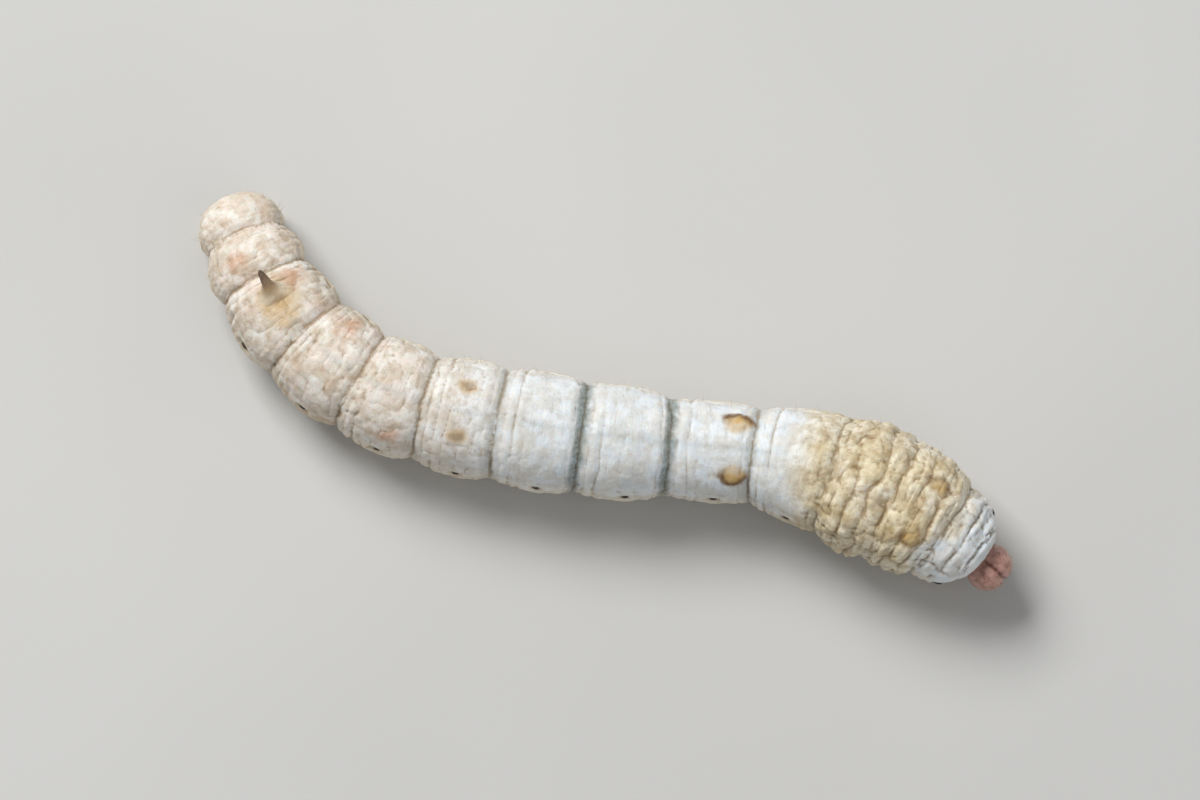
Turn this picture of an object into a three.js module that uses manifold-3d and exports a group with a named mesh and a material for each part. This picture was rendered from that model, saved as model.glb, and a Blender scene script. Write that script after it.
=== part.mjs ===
// Silkworm: the larva of the mulberry silk moth in its last instar, standing on its legs, body in a gentle S.
// Millimetres, +Z up. The floor is z = 0, and the head lies towards +X and the tail towards -X.
// A place on the body is given by s, the distance from the front of the head along the body's midline.
import * as THREE from "three";
import { mergeVertices } from "three/addons/utils/BufferGeometryUtils.js";
import Module from "manifold-3d";

const wasm = await Module();
wasm.setup();

// Driving dimensions
const GAP = 0.3; // clearance between neighbouring pieces
const LIMB_GAP = 0.38; // the same at a limb's root, measured out from the midline, where the skin slants
const HEAD_LENGTH = 2.8; // how far the head stands in front of the first body ring
const SNOUT = { x: 32.12, y: -15.32 }; // the front of the head on the floor plan
const AXIS_SHARE = 0.47; // height of the midline between belly and back
const TAIL_ROUNDING = 2.6; // length over which the last ring closes
const TAIL_LEAST = 0.02; // square of the share of its size that the last ring keeps at its end
const RING_SIDES = 28;
const RING_STEPS = [0.2, 0.5, 0.8, 1]; // where sections lie between two folds
const TAIL_STEPS = [0.93, 0.975, 1]; // and the last three of the last ring, as shares of its length

// The body's rings from head to tail: length along the midline, width, and heights of back and belly.
const RINGS = [
  { name: "prothorax", length: 3.6, width: 7.6, back: 8.7, belly: 2.2, folds: [0.5] },
  { name: "mesothorax", length: 4.8, width: 10.1, back: 10.4, belly: 1.8, folds: [0.34, 0.68] },
  { name: "metathorax", length: 4.9, width: 10.8, back: 10.8, belly: 1.5, folds: [0.34, 0.68] },
  { name: "abdomen_1", length: 6.6, width: 8.6, back: 9.7, belly: 1.3, folds: [0.74] },
  { name: "abdomen_2", length: 7.0, width: 7.6, back: 8.8, belly: 1.1, folds: [0.76] },
  { name: "abdomen_3", length: 7.1, width: 8.7, back: 9.3, belly: 0.9, folds: [0.76] },
  { name: "abdomen_4", length: 6.6, width: 9.1, back: 9.6, belly: 0.9, folds: [0.76] },
  { name: "abdomen_5", length: 6.0, width: 9.0, back: 9.5, belly: 0.9, folds: [0.76] },
  { name: "abdomen_6", length: 5.7, width: 8.8, back: 9.3, belly: 0.9, folds: [0.76] },
  { name: "abdomen_7", length: 5.6, width: 8.6, back: 9.1, belly: 1.0, folds: [0.74] },
  { name: "abdomen_8", length: 5.6, width: 8.2, back: 8.7, belly: 1.2, folds: [0.74] },
  { name: "abdomen_9", length: 3.8, width: 7.6, back: 7.7, belly: 1.3, folds: [0.5] },
  { name: "abdomen_10", length: 4.2, width: 6.4, back: 6.2, belly: 1.3, folds: [0.3] },
];
let reached = HEAD_LENGTH;
for (const ring of RINGS) {
  ring.start = reached;
  reached += ring.length;
}
const BODY_LENGTH = reached;
const ringNamed = (name) => RINGS.find((ring) => ring.name === name);
const sAt = (ring, share) => ring.start + share * ring.length;

// The collar round the neck and the last closed end, as sizes at the two ends of the row of rings.
const COLLAR = { width: 4.2, back: 6.6, belly: 2.5 };
const TAIL_END = { width: 4.6, back: 4.7, belly: 1.5 };

// Grooves between rings and the lighter folds on them: depth and half width.
const GROOVE = { depth: 0.42, spread: 0.6 };
const FOLD = { depth: 0.13, spread: 0.36 };
const THORAX_FOLD = { depth: 0.24, spread: 0.42 };
const FOLD_FADE = 0.5; // how much shallower they are on the belly than on the back

// The midline's heading on the floor plan, from head to tail, in degrees, and its bends.
const HEADING_AT_HEAD = 141;
const BENDS = [
  { from: 2, to: 14, turn: 15 },
  { from: 12, to: 27, turn: 19 },
  { from: 28, to: 46, turn: -6 },
  { from: 44, to: 73, turn: -58 },
];
const SPINE_STEP = 0.1;

const radians = THREE.MathUtils.degToRad;
const bell = (x, spread) => Math.exp(-((x / spread) ** 2));

// A smooth function through [s, value] keys, level at both ends.
function profile(keys) {
  const slope = keys.map((key, i) =>
    i === 0 || i === keys.length - 1
      ? 0
      : (keys[i + 1][1] - keys[i - 1][1]) / (keys[i + 1][0] - keys[i - 1][0]),
  );
  return (s) => {
    if (s <= keys[0][0]) return keys[0][1];
    const i = keys.findIndex((key) => key[0] > s) - 1;
    if (i < 0) return keys.at(-1)[1];
    const span = keys[i + 1][0] - keys[i][0];
    const t = (s - keys[i][0]) / span;
    const rise = t * t * (3 - 2 * t);
    return (
      keys[i][1] * (1 - rise) +
      keys[i + 1][1] * rise +
      span * t * (1 - t) * ((1 - t) * slope[i] - t * slope[i + 1])
    );
  };
}

const profileOf = (key) =>
  profile([
    [HEAD_LENGTH, COLLAR[key]],
    ...RINGS.map((ring) => [sAt(ring, 0.5), ring[key]]),
    [BODY_LENGTH, TAIL_END[key]],
  ]);
const widthAt = profileOf("width");
const backAt = profileOf("back");
const bellyAt = profileOf("belly");
const midlineHeight = (s) => bellyAt(s) + AXIS_SHARE * (backAt(s) - bellyAt(s));

const headingAt = (s) =>
  BENDS.reduce(
    (sum, bend) => sum + radians(bend.turn) * THREE.MathUtils.smoothstep(s, bend.from, bend.to),
    radians(HEADING_AT_HEAD),
  );

// The midline on the floor plan, as points SPINE_STEP apart.
const spine = [new THREE.Vector2(SNOUT.x, SNOUT.y)];
while (spine.length * SPINE_STEP < BODY_LENGTH + 2 * SPINE_STEP) {
  const heading = headingAt((spine.length - 0.5) * SPINE_STEP);
  const step = new THREE.Vector2(Math.cos(heading), Math.sin(heading));
  spine.push(step.multiplyScalar(SPINE_STEP).add(spine.at(-1)));
}

// The place on the midline at s, with the directions towards the head, the animal's left and its back.
function frameAt(s) {
  const along = Math.min(Math.max(s, 0), BODY_LENGTH) / SPINE_STEP;
  const i = Math.min(Math.floor(along), spine.length - 2);
  const plan = spine[i].clone().lerp(spine[i + 1], along - i);
  const rise = (midlineHeight(s + SPINE_STEP) - midlineHeight(s - SPINE_STEP)) / (2 * SPINE_STEP);
  const heading = headingAt(s);
  const forward = new THREE.Vector3(-Math.cos(heading), -Math.sin(heading), -rise).normalize();
  const left = new THREE.Vector3(0, 0, 1).cross(forward).normalize();
  const up = forward.clone().cross(left);
  return { at: new THREE.Vector3(plan.x, plan.y, midlineHeight(s)), forward, left, up };
}

// How deep the grooves and folds cut into the body at s.
function foldAt(s) {
  let depth = 0;
  for (const ring of RINGS) {
    if (ring.start > HEAD_LENGTH) depth += GROOVE.depth * bell(s - ring.start, GROOVE.spread);
    const fold = ring.name.includes("thorax") ? THORAX_FOLD : FOLD;
    for (const share of ring.folds) depth += fold.depth * bell(s - sAt(ring, share), fold.spread);
  }
  return depth;
}

// Half sizes of the section shrink to nothing at the tail, as a quarter of an ellipse does.
function closing(s) {
  const into = Math.max(0, (s - (BODY_LENGTH - TAIL_ROUNDING)) / TAIL_ROUNDING);
  return Math.sqrt(Math.max(TAIL_LEAST, 1 - into * into));
}

// Where the skin lies at s and the angle round from the animal's left, over the back, in the section's plane.
const SECTION_POWER = 0.9;
const BELLY_POWER = 0.8;
const SIDE_LOBE = { angle: -28, spread: 24, swell: 0.05 };
function skinOffset(s, angle, grow = 0) {
  const c = Math.cos(angle);
  const n = Math.sin(angle);
  const axis = midlineHeight(s);
  const half = widthAt(s) / 2;
  const tall = n > 0 ? backAt(s) - axis : axis - bellyAt(s);
  const below = THREE.MathUtils.radToDeg(Math.atan2(n, Math.abs(c)));
  const lobe = 1 + SIDE_LOBE.swell * bell(below - SIDE_LOBE.angle, SIDE_LOBE.spread);
  const x = half * lobe * Math.sign(c) * Math.abs(c) ** SECTION_POWER;
  const y = tall * Math.sign(n) * Math.abs(n) ** (n > 0 ? SECTION_POWER : BELLY_POWER);
  const reach = Math.hypot(x, y);
  const depth = foldAt(s) * (1 - (FOLD_FADE * (1 - n)) / 2);
  const kept = ((reach - depth) * closing(s) + grow) / reach;
  return new THREE.Vector2(x * kept, y * kept);
}
function skinPoint(s, angle, grow = 0) {
  const frame = frameAt(s);
  const offset = skinOffset(s, angle, grow);
  return frame.at.addScaledVector(frame.left, offset.x).addScaledVector(frame.up, offset.y);
}

// Solids: manifold-3d joins and cuts what three.js makes.
function solidOf(geometry, matrix = new THREE.Matrix4()) {
  const bare = geometry.index ? geometry.toNonIndexed() : geometry.clone();
  const world = new THREE.BufferGeometry();
  world.setAttribute("position", bare.getAttribute("position"));
  const merged = mergeVertices(world.applyMatrix4(matrix), 1e-4);
  const make = (triVerts) =>
    new wasm.Manifold(
      new wasm.Mesh({ numProp: 3, vertProperties: merged.attributes.position.array, triVerts }),
    );
  const triangles = new Uint32Array(merged.index.array);
  const solid = make(triangles);
  return solid.volume() > 0 ? solid : make(triangles.reverse());
}
const largest = (solid) =>
  solid.decompose().reduce((best, piece) => (piece.volume() > best.volume() ? piece : best));
const joined = (solids) => solids.reduce((whole, piece) => whole.add(piece));

// A closed solid through rings of points, with a flat fan over each end.
function loft(rings) {
  const sides = rings[0].length;
  const points = rings.flat();
  const triangles = [];
  for (let r = 0; r + 1 < rings.length; r++)
    for (let i = 0; i < sides; i++) {
      const [a, b] = [r * sides + i, r * sides + ((i + 1) % sides)];
      triangles.push(a, b, b + sides, a, b + sides, a + sides);
    }
  for (const [ring, first] of [
    [rings[0], 0],
    [rings.at(-1), points.length - sides],
  ]) {
    const centre = ring.reduce((sum, p) => sum.add(p), new THREE.Vector3()).divideScalar(sides);
    points.push(centre);
    for (let i = 0; i < sides; i++) {
      const edge = [first + i, first + ((i + 1) % sides)];
      if (first === 0) edge.reverse();
      triangles.push(...edge, points.length - 1);
    }
  }
  const geometry = new THREE.BufferGeometry().setFromPoints(points);
  return solidOf(geometry.setIndex(triangles));
}

// A round body that follows a row of {at, radius} marks, for horns, feelers and palps.
function taper(marks, sides) {
  return loft(
    marks.map((mark, i) => {
      const before = marks[Math.max(0, i - 1)].at;
      const after = marks[Math.min(marks.length - 1, i + 1)].at;
      const along = after.clone().sub(before).normalize();
      const across = new THREE.Vector3(0, 1, 0).cross(along).normalize();
      const over = along.clone().cross(across);
      return circle(sides, (c, n) =>
        mark.at
          .clone()
          .addScaledVector(across, mark.radius * c)
          .addScaledVector(over, mark.radius * n),
      );
    }),
  );
}
const circle = (sides, place) =>
  Array.from({ length: sides }, (_, i) => {
    const angle = (2 * Math.PI * i) / sides;
    return place(Math.cos(angle), Math.sin(angle), angle);
  });

// One ring of the body between two cuts, or, grown, the space that the pieces on it keep clear of.
function ringSolid(ring, grow = 0) {
  const from = ring.start + GAP / 2 - (grow ? 2 * GAP : 0);
  const last = ring === RINGS.at(-1);
  const to = ring.start + ring.length - (last ? 0 : GAP / 2) + (grow && !last ? 2 * GAP : 0);
  const breaks = [0, ...ring.folds, 1];
  const shares = [0];
  for (let i = 0; i + 1 < breaks.length; i++)
    for (const t of RING_STEPS) shares.push(breaks[i] + t * (breaks[i + 1] - breaks[i]));
  if (last) shares.splice(-1, 1, ...TAIL_STEPS);
  return loft(
    shares.map((share) => {
      const s = from + share * (to - from);
      return circle(RING_SIDES, (c, n, angle) => skinPoint(s, angle, grow));
    }),
  );
}

// A breathing hole: an oval rim with a dished middle, on the flank.
const SPIRACLE = { angle: 4, share: 0.42, long: 0.46, narrow: 0.32, sides: 8 };
// Its rings from the root to the middle, as [share of its size, height over the skin].
const SPIRACLE_MARKS = [
  [1, -0.3],
  [1, 0.07],
  [0.8, 0.12],
  [0.5, 0.12],
  [0.3, 0],
];
function spiracle(ring, side) {
  const s = sAt(ring, SPIRACLE.share);
  const angle = side > 0 ? radians(SPIRACLE.angle) : Math.PI - radians(SPIRACLE.angle);
  const frame = frameAt(s);
  const out = frame.left.clone().multiplyScalar(side);
  return loft(
    SPIRACLE_MARKS.map(([size, height]) =>
      circle(SPIRACLE.sides, (c, n) =>
        skinPoint(s, angle)
          .addScaledVector(frame.up, SPIRACLE.long * size * c)
          .addScaledVector(frame.forward, SPIRACLE.narrow * size * n)
          .addScaledVector(out, height),
      ),
    ),
  );
}
const BREATHING = RINGS.filter((ring) => /^(prothorax|abdomen_[1-8])$/.test(ring.name));

// A limb of level rings under the body, placed from the midline at s.
// Each mark has a height z, half sizes across and along the body, and shifts out and ahead.
function limb(s, side, marks, sides) {
  const frame = frameAt(s);
  const forward = frame.forward.clone().setZ(0).normalize();
  const out = frame.left.clone().multiplyScalar(side);
  return loft(
    marks.map((mark) =>
      circle(sides, (c, n) =>
        frame.at
          .clone()
          .setZ(mark.z)
          .addScaledVector(out, mark.out + mark.across * c)
          .addScaledVector(forward, mark.ahead + mark.along * n),
      ),
    ),
  );
}
const clearOf = (ring) => ringSolid(ring, LIMB_GAP);

// Thoracic legs: a fleshy root, three joints and a claw, curved in towards the tip.
const LEG_MARKS = [
  { z: 4.3, across: 1.1, along: 1.25, out: 1.5, ahead: -0.2 },
  { z: 3.1, across: 1.25, along: 1.35, out: 1.95, ahead: -0.12 },
  { z: 2.4, across: 1.05, along: 1.15, out: 2.12, ahead: -0.05 },
  { z: 1.95, across: 0.7, along: 0.76, out: 2.25, ahead: 0 },
  { z: 1.82, across: 0.56, along: 0.6, out: 2.25, ahead: 0.05 },
  { z: 1.68, across: 0.6, along: 0.64, out: 2.24, ahead: 0.1 },
  { z: 1.15, across: 0.5, along: 0.54, out: 2.16, ahead: 0.25 },
  { z: 1.02, across: 0.4, along: 0.42, out: 2.12, ahead: 0.3 },
  { z: 0.9, across: 0.44, along: 0.46, out: 2.06, ahead: 0.35 },
  { z: 0.5, across: 0.33, along: 0.35, out: 1.92, ahead: 0.45 },
  { z: 0.4, across: 0.26, along: 0.27, out: 1.86, ahead: 0.5 },
  { z: 0, across: 0.25, along: 0.25, out: 1.72, ahead: 0.62 },
];
const LEG_SIDES = 10;
const LEG_SHARE = 0.5;

// Prolegs: a fleshy base, a waist and a flared sole. The hind pair is larger and set wider.
const PROLEG_MARKS = [
  { z: 3.6, across: 1.3, along: 1.9, out: 1.9, ahead: 0 },
  { z: 2.4, across: 1.55, along: 1.95, out: 2.25, ahead: 0 },
  { z: 1.7, across: 1.35, along: 1.6, out: 2.4, ahead: 0 },
  { z: 1.2, across: 1.04, along: 1.2, out: 2.43, ahead: 0 },
  { z: 0.8, across: 0.88, along: 1.0, out: 2.42, ahead: 0 },
  { z: 0.45, across: 0.98, along: 1.12, out: 2.4, ahead: 0 },
  { z: 0.15, across: 1.02, along: 1.18, out: 2.38, ahead: 0 },
  { z: 0, across: 0.86, along: 1.0, out: 2.36, ahead: 0 },
];
const PROLEG_SIDES = 14;
const PROLEG_SHARE = 0.48;
const WALKING = ["abdomen_3", "abdomen_4", "abdomen_5", "abdomen_6"];
const CLASPER_MARKS = [
  { z: 3.9, across: 1.0, along: 1.3, out: 1.5, ahead: 0.35 },
  { z: 2.8, across: 1.35, along: 1.65, out: 1.9, ahead: 0.2 },
  { z: 2.0, across: 1.35, along: 1.7, out: 2.15, ahead: 0.05 },
  { z: 1.3, across: 1.1, along: 1.4, out: 2.25, ahead: -0.05 },
  { z: 0.9, across: 1.0, along: 1.25, out: 2.25, ahead: -0.1 },
  { z: 0.45, across: 1.12, along: 1.4, out: 2.25, ahead: -0.1 },
  { z: 0.15, across: 1.15, along: 1.45, out: 2.25, ahead: -0.1 },
  { z: 0, across: 0.98, along: 1.25, out: 2.25, ahead: -0.1 },
];
const CLASPER_SHARE = 0.3;

// The horn on the back of the eighth ring, leaning back.
const HORN = { share: 0.7, sunk: 1.3, length: 2.0, base: 0.72, tip: 0.2, lean: 0.9, bend: 0.35, sides: 12 };
const HORN_HEIGHTS = [-HORN.sunk, -0.2, 0.3, 0.75, 1.2, 1.65, HORN.length];
const HORN_FULLNESS = 0.8; // power of its narrowing: below 1 it stays thick for longer
function horn() {
  const ring = ringNamed("abdomen_8");
  const s = sAt(ring, HORN.share);
  const root = skinPoint(s, Math.PI / 2);
  const { forward, up } = frameAt(s);
  const marks = HORN_HEIGHTS.map((height) => {
    const share = Math.max(0, height) / HORN.length;
    const at = root
      .clone()
      .addScaledVector(up, height - HORN.bend * share * share)
      .addScaledVector(forward, -HORN.lean * height * (HORN.bend + (1 - HORN.bend) * share));
    return { at, radius: HORN.tip + (HORN.base - HORN.tip) * (1 - share) ** HORN_FULLNESS };
  });
  return taper(marks, HORN.sides);
}

// Head: made in its own frame, +X where the face looks, +Y the animal's left, +Z the crown.
const HEAD = { depth: 3.4, width: 3.9, height: 3.9, pitch: 16, z: 4.35, behind: 1.65 };
const HEAD_GRID = { around: 26, tall: 16 };
// The crown is parted by a seam into two lobes, and the face narrows and flattens towards the mouth.
const CROWN = { from: 0.1, to: 1.1 };
const SEAM = { depth: 0.1, spread: 0.16 };
const LOBE = { swell: 0.05, at: 0.5, spread: 0.3 };
const FACE = { narrowing: 0.24, flattening: 0.1, from: 0.1, to: -1 };
function headPoint(direction, grow = 0) {
  const { x, y, z } = direction;
  const towardsMouth = THREE.MathUtils.smoothstep(-z, -FACE.from, -FACE.to);
  const narrow = 1 - FACE.narrowing * towardsMouth;
  const crown = THREE.MathUtils.smoothstep(z + x, CROWN.from, CROWN.to);
  const seam = 1 - SEAM.depth * crown * bell(y, SEAM.spread);
  const lobes = 1 + LOBE.swell * crown * bell(Math.abs(y) - LOBE.at, LOBE.spread);
  const scale = seam * lobes;
  return new THREE.Vector3(
    (x * HEAD.depth * scale * (1 - FACE.flattening * towardsMouth)) / 2 + grow * x,
    (y * HEAD.width * scale * narrow) / 2 + grow * y,
    (z * HEAD.height * scale) / 2 + grow * z,
  );
}
function headShell(grow = 0) {
  const ball = new THREE.SphereGeometry(1, HEAD_GRID.around, HEAD_GRID.tall).rotateX(Math.PI / 2);
  const places = ball.getAttribute("position");
  for (let i = 0; i < places.count; i++) {
    const moved = headPoint(new THREE.Vector3().fromBufferAttribute(places, i), grow);
    places.setXYZ(i, moved.x, moved.y, moved.z);
  }
  return solidOf(ball);
}
const onHead = (azimuth, height, grow = 0) => {
  const [a, h] = [radians(azimuth), radians(height)];
  const direction = new THREE.Vector3(
    Math.cos(h) * Math.cos(a),
    Math.cos(h) * Math.sin(a),
    Math.sin(h),
  );
  return headPoint(direction, grow);
};

// Six simple eyes on each cheek, in an open curve.
const EYES = { radius: 0.2, sunk: 0.08, azimuth: 58, height: -22, spread: 15, around: 8, tall: 6 };
const EYE_TURNS = [-75, -25, 20, 65, 110, 160];
function eyes(side) {
  return EYE_TURNS.map((turn) => {
    const azimuth = EYES.azimuth + EYES.spread * Math.cos(radians(turn));
    const height = EYES.height + EYES.spread * Math.sin(radians(turn));
    const centre = onHead(side * azimuth, height, -EYES.sunk);
    const bead = new THREE.SphereGeometry(EYES.radius, EYES.around, EYES.tall);
    return solidOf(bead, new THREE.Matrix4().setPosition(centre));
  });
}

// The upper lip: a notched plate over the jaws.
const LIP = { width: 1.4, tall: 0.7, thick: 0.5, x: 1.02, z: -1.45, notch: 0.3 };
function upperLip() {
  const outline = new THREE.Shape();
  const half = LIP.width / 2;
  outline.moveTo(-half, LIP.tall / 2);
  outline.lineTo(-half, 0);
  outline.quadraticCurveTo(-half, -LIP.tall / 2, -half / 2, -LIP.tall / 2);
  outline.lineTo(0, -LIP.tall / 2 + LIP.notch);
  outline.lineTo(half / 2, -LIP.tall / 2);
  outline.quadraticCurveTo(half, -LIP.tall / 2, half, 0);
  outline.lineTo(half, LIP.tall / 2);
  const plate = new THREE.ExtrudeGeometry(outline, {
    depth: LIP.thick,
    bevelEnabled: false,
    curveSegments: 4,
  });
  const turn = new THREE.Matrix4().makeBasis(
    new THREE.Vector3(0, 1, 0),
    new THREE.Vector3(0, 0, 1),
    new THREE.Vector3(1, 0, 0),
  );
  return solidOf(plate, turn.setPosition(LIP.x, 0, LIP.z));
}

// Jaws: two blunt wedges under the lip, apart by the gap.
const JAW = { length: 1.2, width: 0.8, thick: 0.66, x: 0.9, z: -2.2, y: 0.56, tilt: -18 };
const JAW_GRID = { around: 12, tall: 8 };
function jaw(side) {
  const wedge = new THREE.SphereGeometry(0.5, JAW_GRID.around, JAW_GRID.tall);
  const shape = new THREE.Matrix4()
    .makeTranslation(JAW.x, side * JAW.y, JAW.z)
    .multiply(new THREE.Matrix4().makeRotationX(side * radians(JAW.tilt)))
    .multiply(new THREE.Matrix4().makeScale(JAW.thick, JAW.width, JAW.length));
  return solidOf(wedge, shape);
}

// Feelers beside the jaws: three short joints.
const FEELER = { azimuth: 44, height: -44, ahead: 0.8, out: 0.5, down: 0.55, sides: 10 };
const FEELER_MARKS = [
  { reach: -0.5, radius: 0.27 },
  { reach: 0.35, radius: 0.27 },
  { reach: 0.4, radius: 0.21 },
  { reach: 0.7, radius: 0.21 },
  { reach: 0.75, radius: 0.15 },
  { reach: 1.0, radius: 0.15 },
];
function feeler(side) {
  const root = onHead(side * FEELER.azimuth, FEELER.height);
  const aim = new THREE.Vector3(FEELER.ahead, side * FEELER.out, -FEELER.down).normalize();
  const marks = FEELER_MARKS.map(({ reach, radius }) => ({
    at: root.clone().addScaledVector(aim, reach),
    radius,
  }));
  return taper(marks, FEELER.sides);
}

// The lower lip with the spinneret that draws the silk.
const SPINNERET_MARKS = [
  { at: new THREE.Vector3(-0.35, 0, -1.4), radius: 0.66 },
  { at: new THREE.Vector3(-0.25, 0, -2.0), radius: 0.64 },
  { at: new THREE.Vector3(-0.12, 0, -2.3), radius: 0.44 },
  { at: new THREE.Vector3(-0.05, 0, -2.4), radius: 0.28 },
  { at: new THREE.Vector3(0.1, 0, -2.85), radius: 0.2 },
];
const SPINNERET_SIDES = 12;

const headFrame = frameAt(HEAD.behind);
const headForward = headFrame.forward.clone().setZ(0).normalize();
const headGroup = new THREE.Group();
headGroup.position.copy(headFrame.at).setZ(HEAD.z);
headGroup.rotation.set(0, radians(HEAD.pitch), Math.atan2(headForward.y, headForward.x), "ZYX");
headGroup.updateMatrixWorld(true);

// The slab behind the neck cut, in the head's own frame.
const NECK_SLAB = { deep: 10, wide: 20, tall: 20 };
function behindNeck() {
  const frame = frameAt(HEAD_LENGTH);
  const slab = new THREE.Matrix4().makeBasis(frame.forward, frame.left, frame.up);
  const centre = frame.at.clone().addScaledVector(frame.forward, (GAP - NECK_SLAB.deep) / 2);
  return solidOf(
    new THREE.BoxGeometry(NECK_SLAB.deep, NECK_SLAB.wide, NECK_SLAB.tall),
    headGroup.matrixWorld.clone().invert().multiply(slab.setPosition(centre)),
  );
}

// What the mouthparts keep clear of: the head's shell and a block of room round the upper lip.
const LIP_ROOM = { thick: 1.5, width: 2.1, tall: 1.5, x: 1.2, z: -1.35 };
function nearHead() {
  const block = new THREE.BoxGeometry(LIP_ROOM.thick, LIP_ROOM.width, LIP_ROOM.tall);
  const place = new THREE.Matrix4().setPosition(LIP_ROOM.x, 0, LIP_ROOM.z);
  return headShell(GAP).add(solidOf(block, place));
}

// Finishes
const finish = (color, roughness) => new THREE.MeshStandardMaterial({ color, roughness, metalness: 0 });
const SKIN = finish(0xe6e0d2, 0.55);
const THORAX_SKIN = finish(0xe0d3b4, 0.6);
const HEAD_SHELL = finish(0xa9785c, 0.35);
const LIMB_SHELL = finish(0xb98a5e, 0.4);
const JAW_SHELL = finish(0x5a3526, 0.3);

const silkworm = new THREE.Group();
function put(name, solid, material, group = silkworm) {
  const mesh = largest(solid).getMesh();
  const geometry = new THREE.BufferGeometry();
  geometry.setAttribute("position", new THREE.BufferAttribute(mesh.vertProperties, mesh.numProp));
  geometry.setIndex(new THREE.BufferAttribute(mesh.triVerts, 1));
  geometry.computeVertexNormals();
  const piece = new THREE.Mesh(geometry, material);
  piece.name = name;
  group.add(piece);
}
const SIDES = { left: 1, right: -1 };

for (const ring of RINGS) {
  const holes = BREATHING.includes(ring) ? [spiracle(ring, 1), spiracle(ring, -1)] : [];
  put(ring.name, joined([ringSolid(ring), ...holes]), ring.name.includes("thorax") ? THORAX_SKIN : SKIN);
}

const hornRing = ringNamed("abdomen_8");
put("caudal_horn", horn().subtract(clearOf(hornRing)), SKIN);

for (const [sideName, side] of Object.entries(SIDES)) {
  RINGS.slice(0, 3).forEach((ring, i) => {
    const leg = limb(sAt(ring, LEG_SHARE), side, LEG_MARKS, LEG_SIDES);
    put(`leg_${sideName}_${i + 1}`, leg.subtract(clearOf(ring)), LIMB_SHELL);
  });
  for (const name of WALKING) {
    const ring = ringNamed(name);
    const proleg = limb(sAt(ring, PROLEG_SHARE), side, PROLEG_MARKS, PROLEG_SIDES);
    put(`proleg_${sideName}_${name.at(-1)}`, proleg.subtract(clearOf(ring)), SKIN);
  }
  const last = RINGS.at(-1);
  const clasper = limb(sAt(last, CLASPER_SHARE), side, CLASPER_MARKS, PROLEG_SIDES);
  const clear = clearOf(last).add(clearOf(ringNamed("abdomen_9")));
  put(`clasper_${sideName}`, clasper.subtract(clear), SKIN);
}

const neck = behindNeck();
const shell = joined([headShell(), upperLip(), ...eyes(1), ...eyes(-1)]);
put("head", shell.subtract(neck), HEAD_SHELL, headGroup);
const mouthRoom = nearHead();
const lowerLip = taper(SPINNERET_MARKS, SPINNERET_SIDES);
put("spinneret", lowerLip.subtract(mouthRoom.add(neck)), JAW_SHELL, headGroup);
for (const [sideName, side] of Object.entries(SIDES)) {
  put(`mandible_${sideName}`, jaw(side).subtract(mouthRoom), JAW_SHELL, headGroup);
  put(`antenna_${sideName}`, feeler(side).subtract(headShell(GAP)), LIMB_SHELL, headGroup);
}
silkworm.add(headGroup);

export default silkworm;
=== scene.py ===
# A silkworm, the last-instar larva of the mulberry silk moth: skin, head, legs, breathing holes and hairs.
# Lengths are millimetres until a mesh is made, and metres after that. A place on the body is given by s,
# the distance from the front of the head along the midline, and by the angle round it from the animal's
# left, over its back.
import math

import bmesh
import bpy
import numpy as np
from mathutils import Matrix, Vector
from mathutils.bvhtree import BVHTree
from mathutils.kdtree import KDTree


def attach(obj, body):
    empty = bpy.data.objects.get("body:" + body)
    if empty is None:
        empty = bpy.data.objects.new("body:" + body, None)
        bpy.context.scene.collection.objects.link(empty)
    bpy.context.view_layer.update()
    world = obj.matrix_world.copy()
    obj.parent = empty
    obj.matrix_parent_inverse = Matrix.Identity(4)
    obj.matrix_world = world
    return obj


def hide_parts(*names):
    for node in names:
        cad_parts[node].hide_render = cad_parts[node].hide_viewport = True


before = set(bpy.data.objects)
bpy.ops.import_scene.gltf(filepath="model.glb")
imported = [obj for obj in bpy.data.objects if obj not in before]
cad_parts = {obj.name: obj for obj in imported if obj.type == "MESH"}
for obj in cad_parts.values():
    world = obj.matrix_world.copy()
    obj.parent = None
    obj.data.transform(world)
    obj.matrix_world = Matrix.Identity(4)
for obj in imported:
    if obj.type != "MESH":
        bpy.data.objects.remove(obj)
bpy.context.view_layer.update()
MM = 0.001

# The body's rings from head to tail: name, length along the midline, width, height of back and of belly.
RINGS = [
    ("prothorax", 3.6, 7.6, 8.7, 2.2),
    ("mesothorax", 4.8, 10.1, 10.4, 1.8),
    ("metathorax", 4.9, 10.8, 10.8, 1.5),
    ("abdomen_1", 6.6, 8.6, 9.7, 1.3),
    ("abdomen_2", 7.0, 7.6, 8.8, 1.1),
    ("abdomen_3", 7.1, 8.7, 9.3, 0.9),
    ("abdomen_4", 6.6, 9.1, 9.6, 0.9),
    ("abdomen_5", 6.0, 9.0, 9.5, 0.9),
    ("abdomen_6", 5.7, 8.8, 9.3, 0.9),
    ("abdomen_7", 5.6, 8.6, 9.1, 1.0),
    ("abdomen_8", 5.6, 8.2, 8.7, 1.2),
    ("abdomen_9", 3.8, 7.6, 7.7, 1.3),
    ("abdomen_10", 4.2, 6.4, 6.2, 1.3),
]
NAMES = [ring[0] for ring in RINGS]
THORAX = NAMES[:3]
LENGTHS = np.array([ring[1] for ring in RINGS])
HEAD_LENGTH = 2.8
STARTS = HEAD_LENGTH + np.concatenate([[0.0], np.cumsum(LENGTHS)[:-1]])
BODY_LENGTH = HEAD_LENGTH + LENGTHS.sum()
# Width, height of back and of belly where the body meets the head, and at its hind end.
COLLAR = (4.2, 6.6, 2.5)
TAIL_END = (4.6, 4.7, 1.5)
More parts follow.
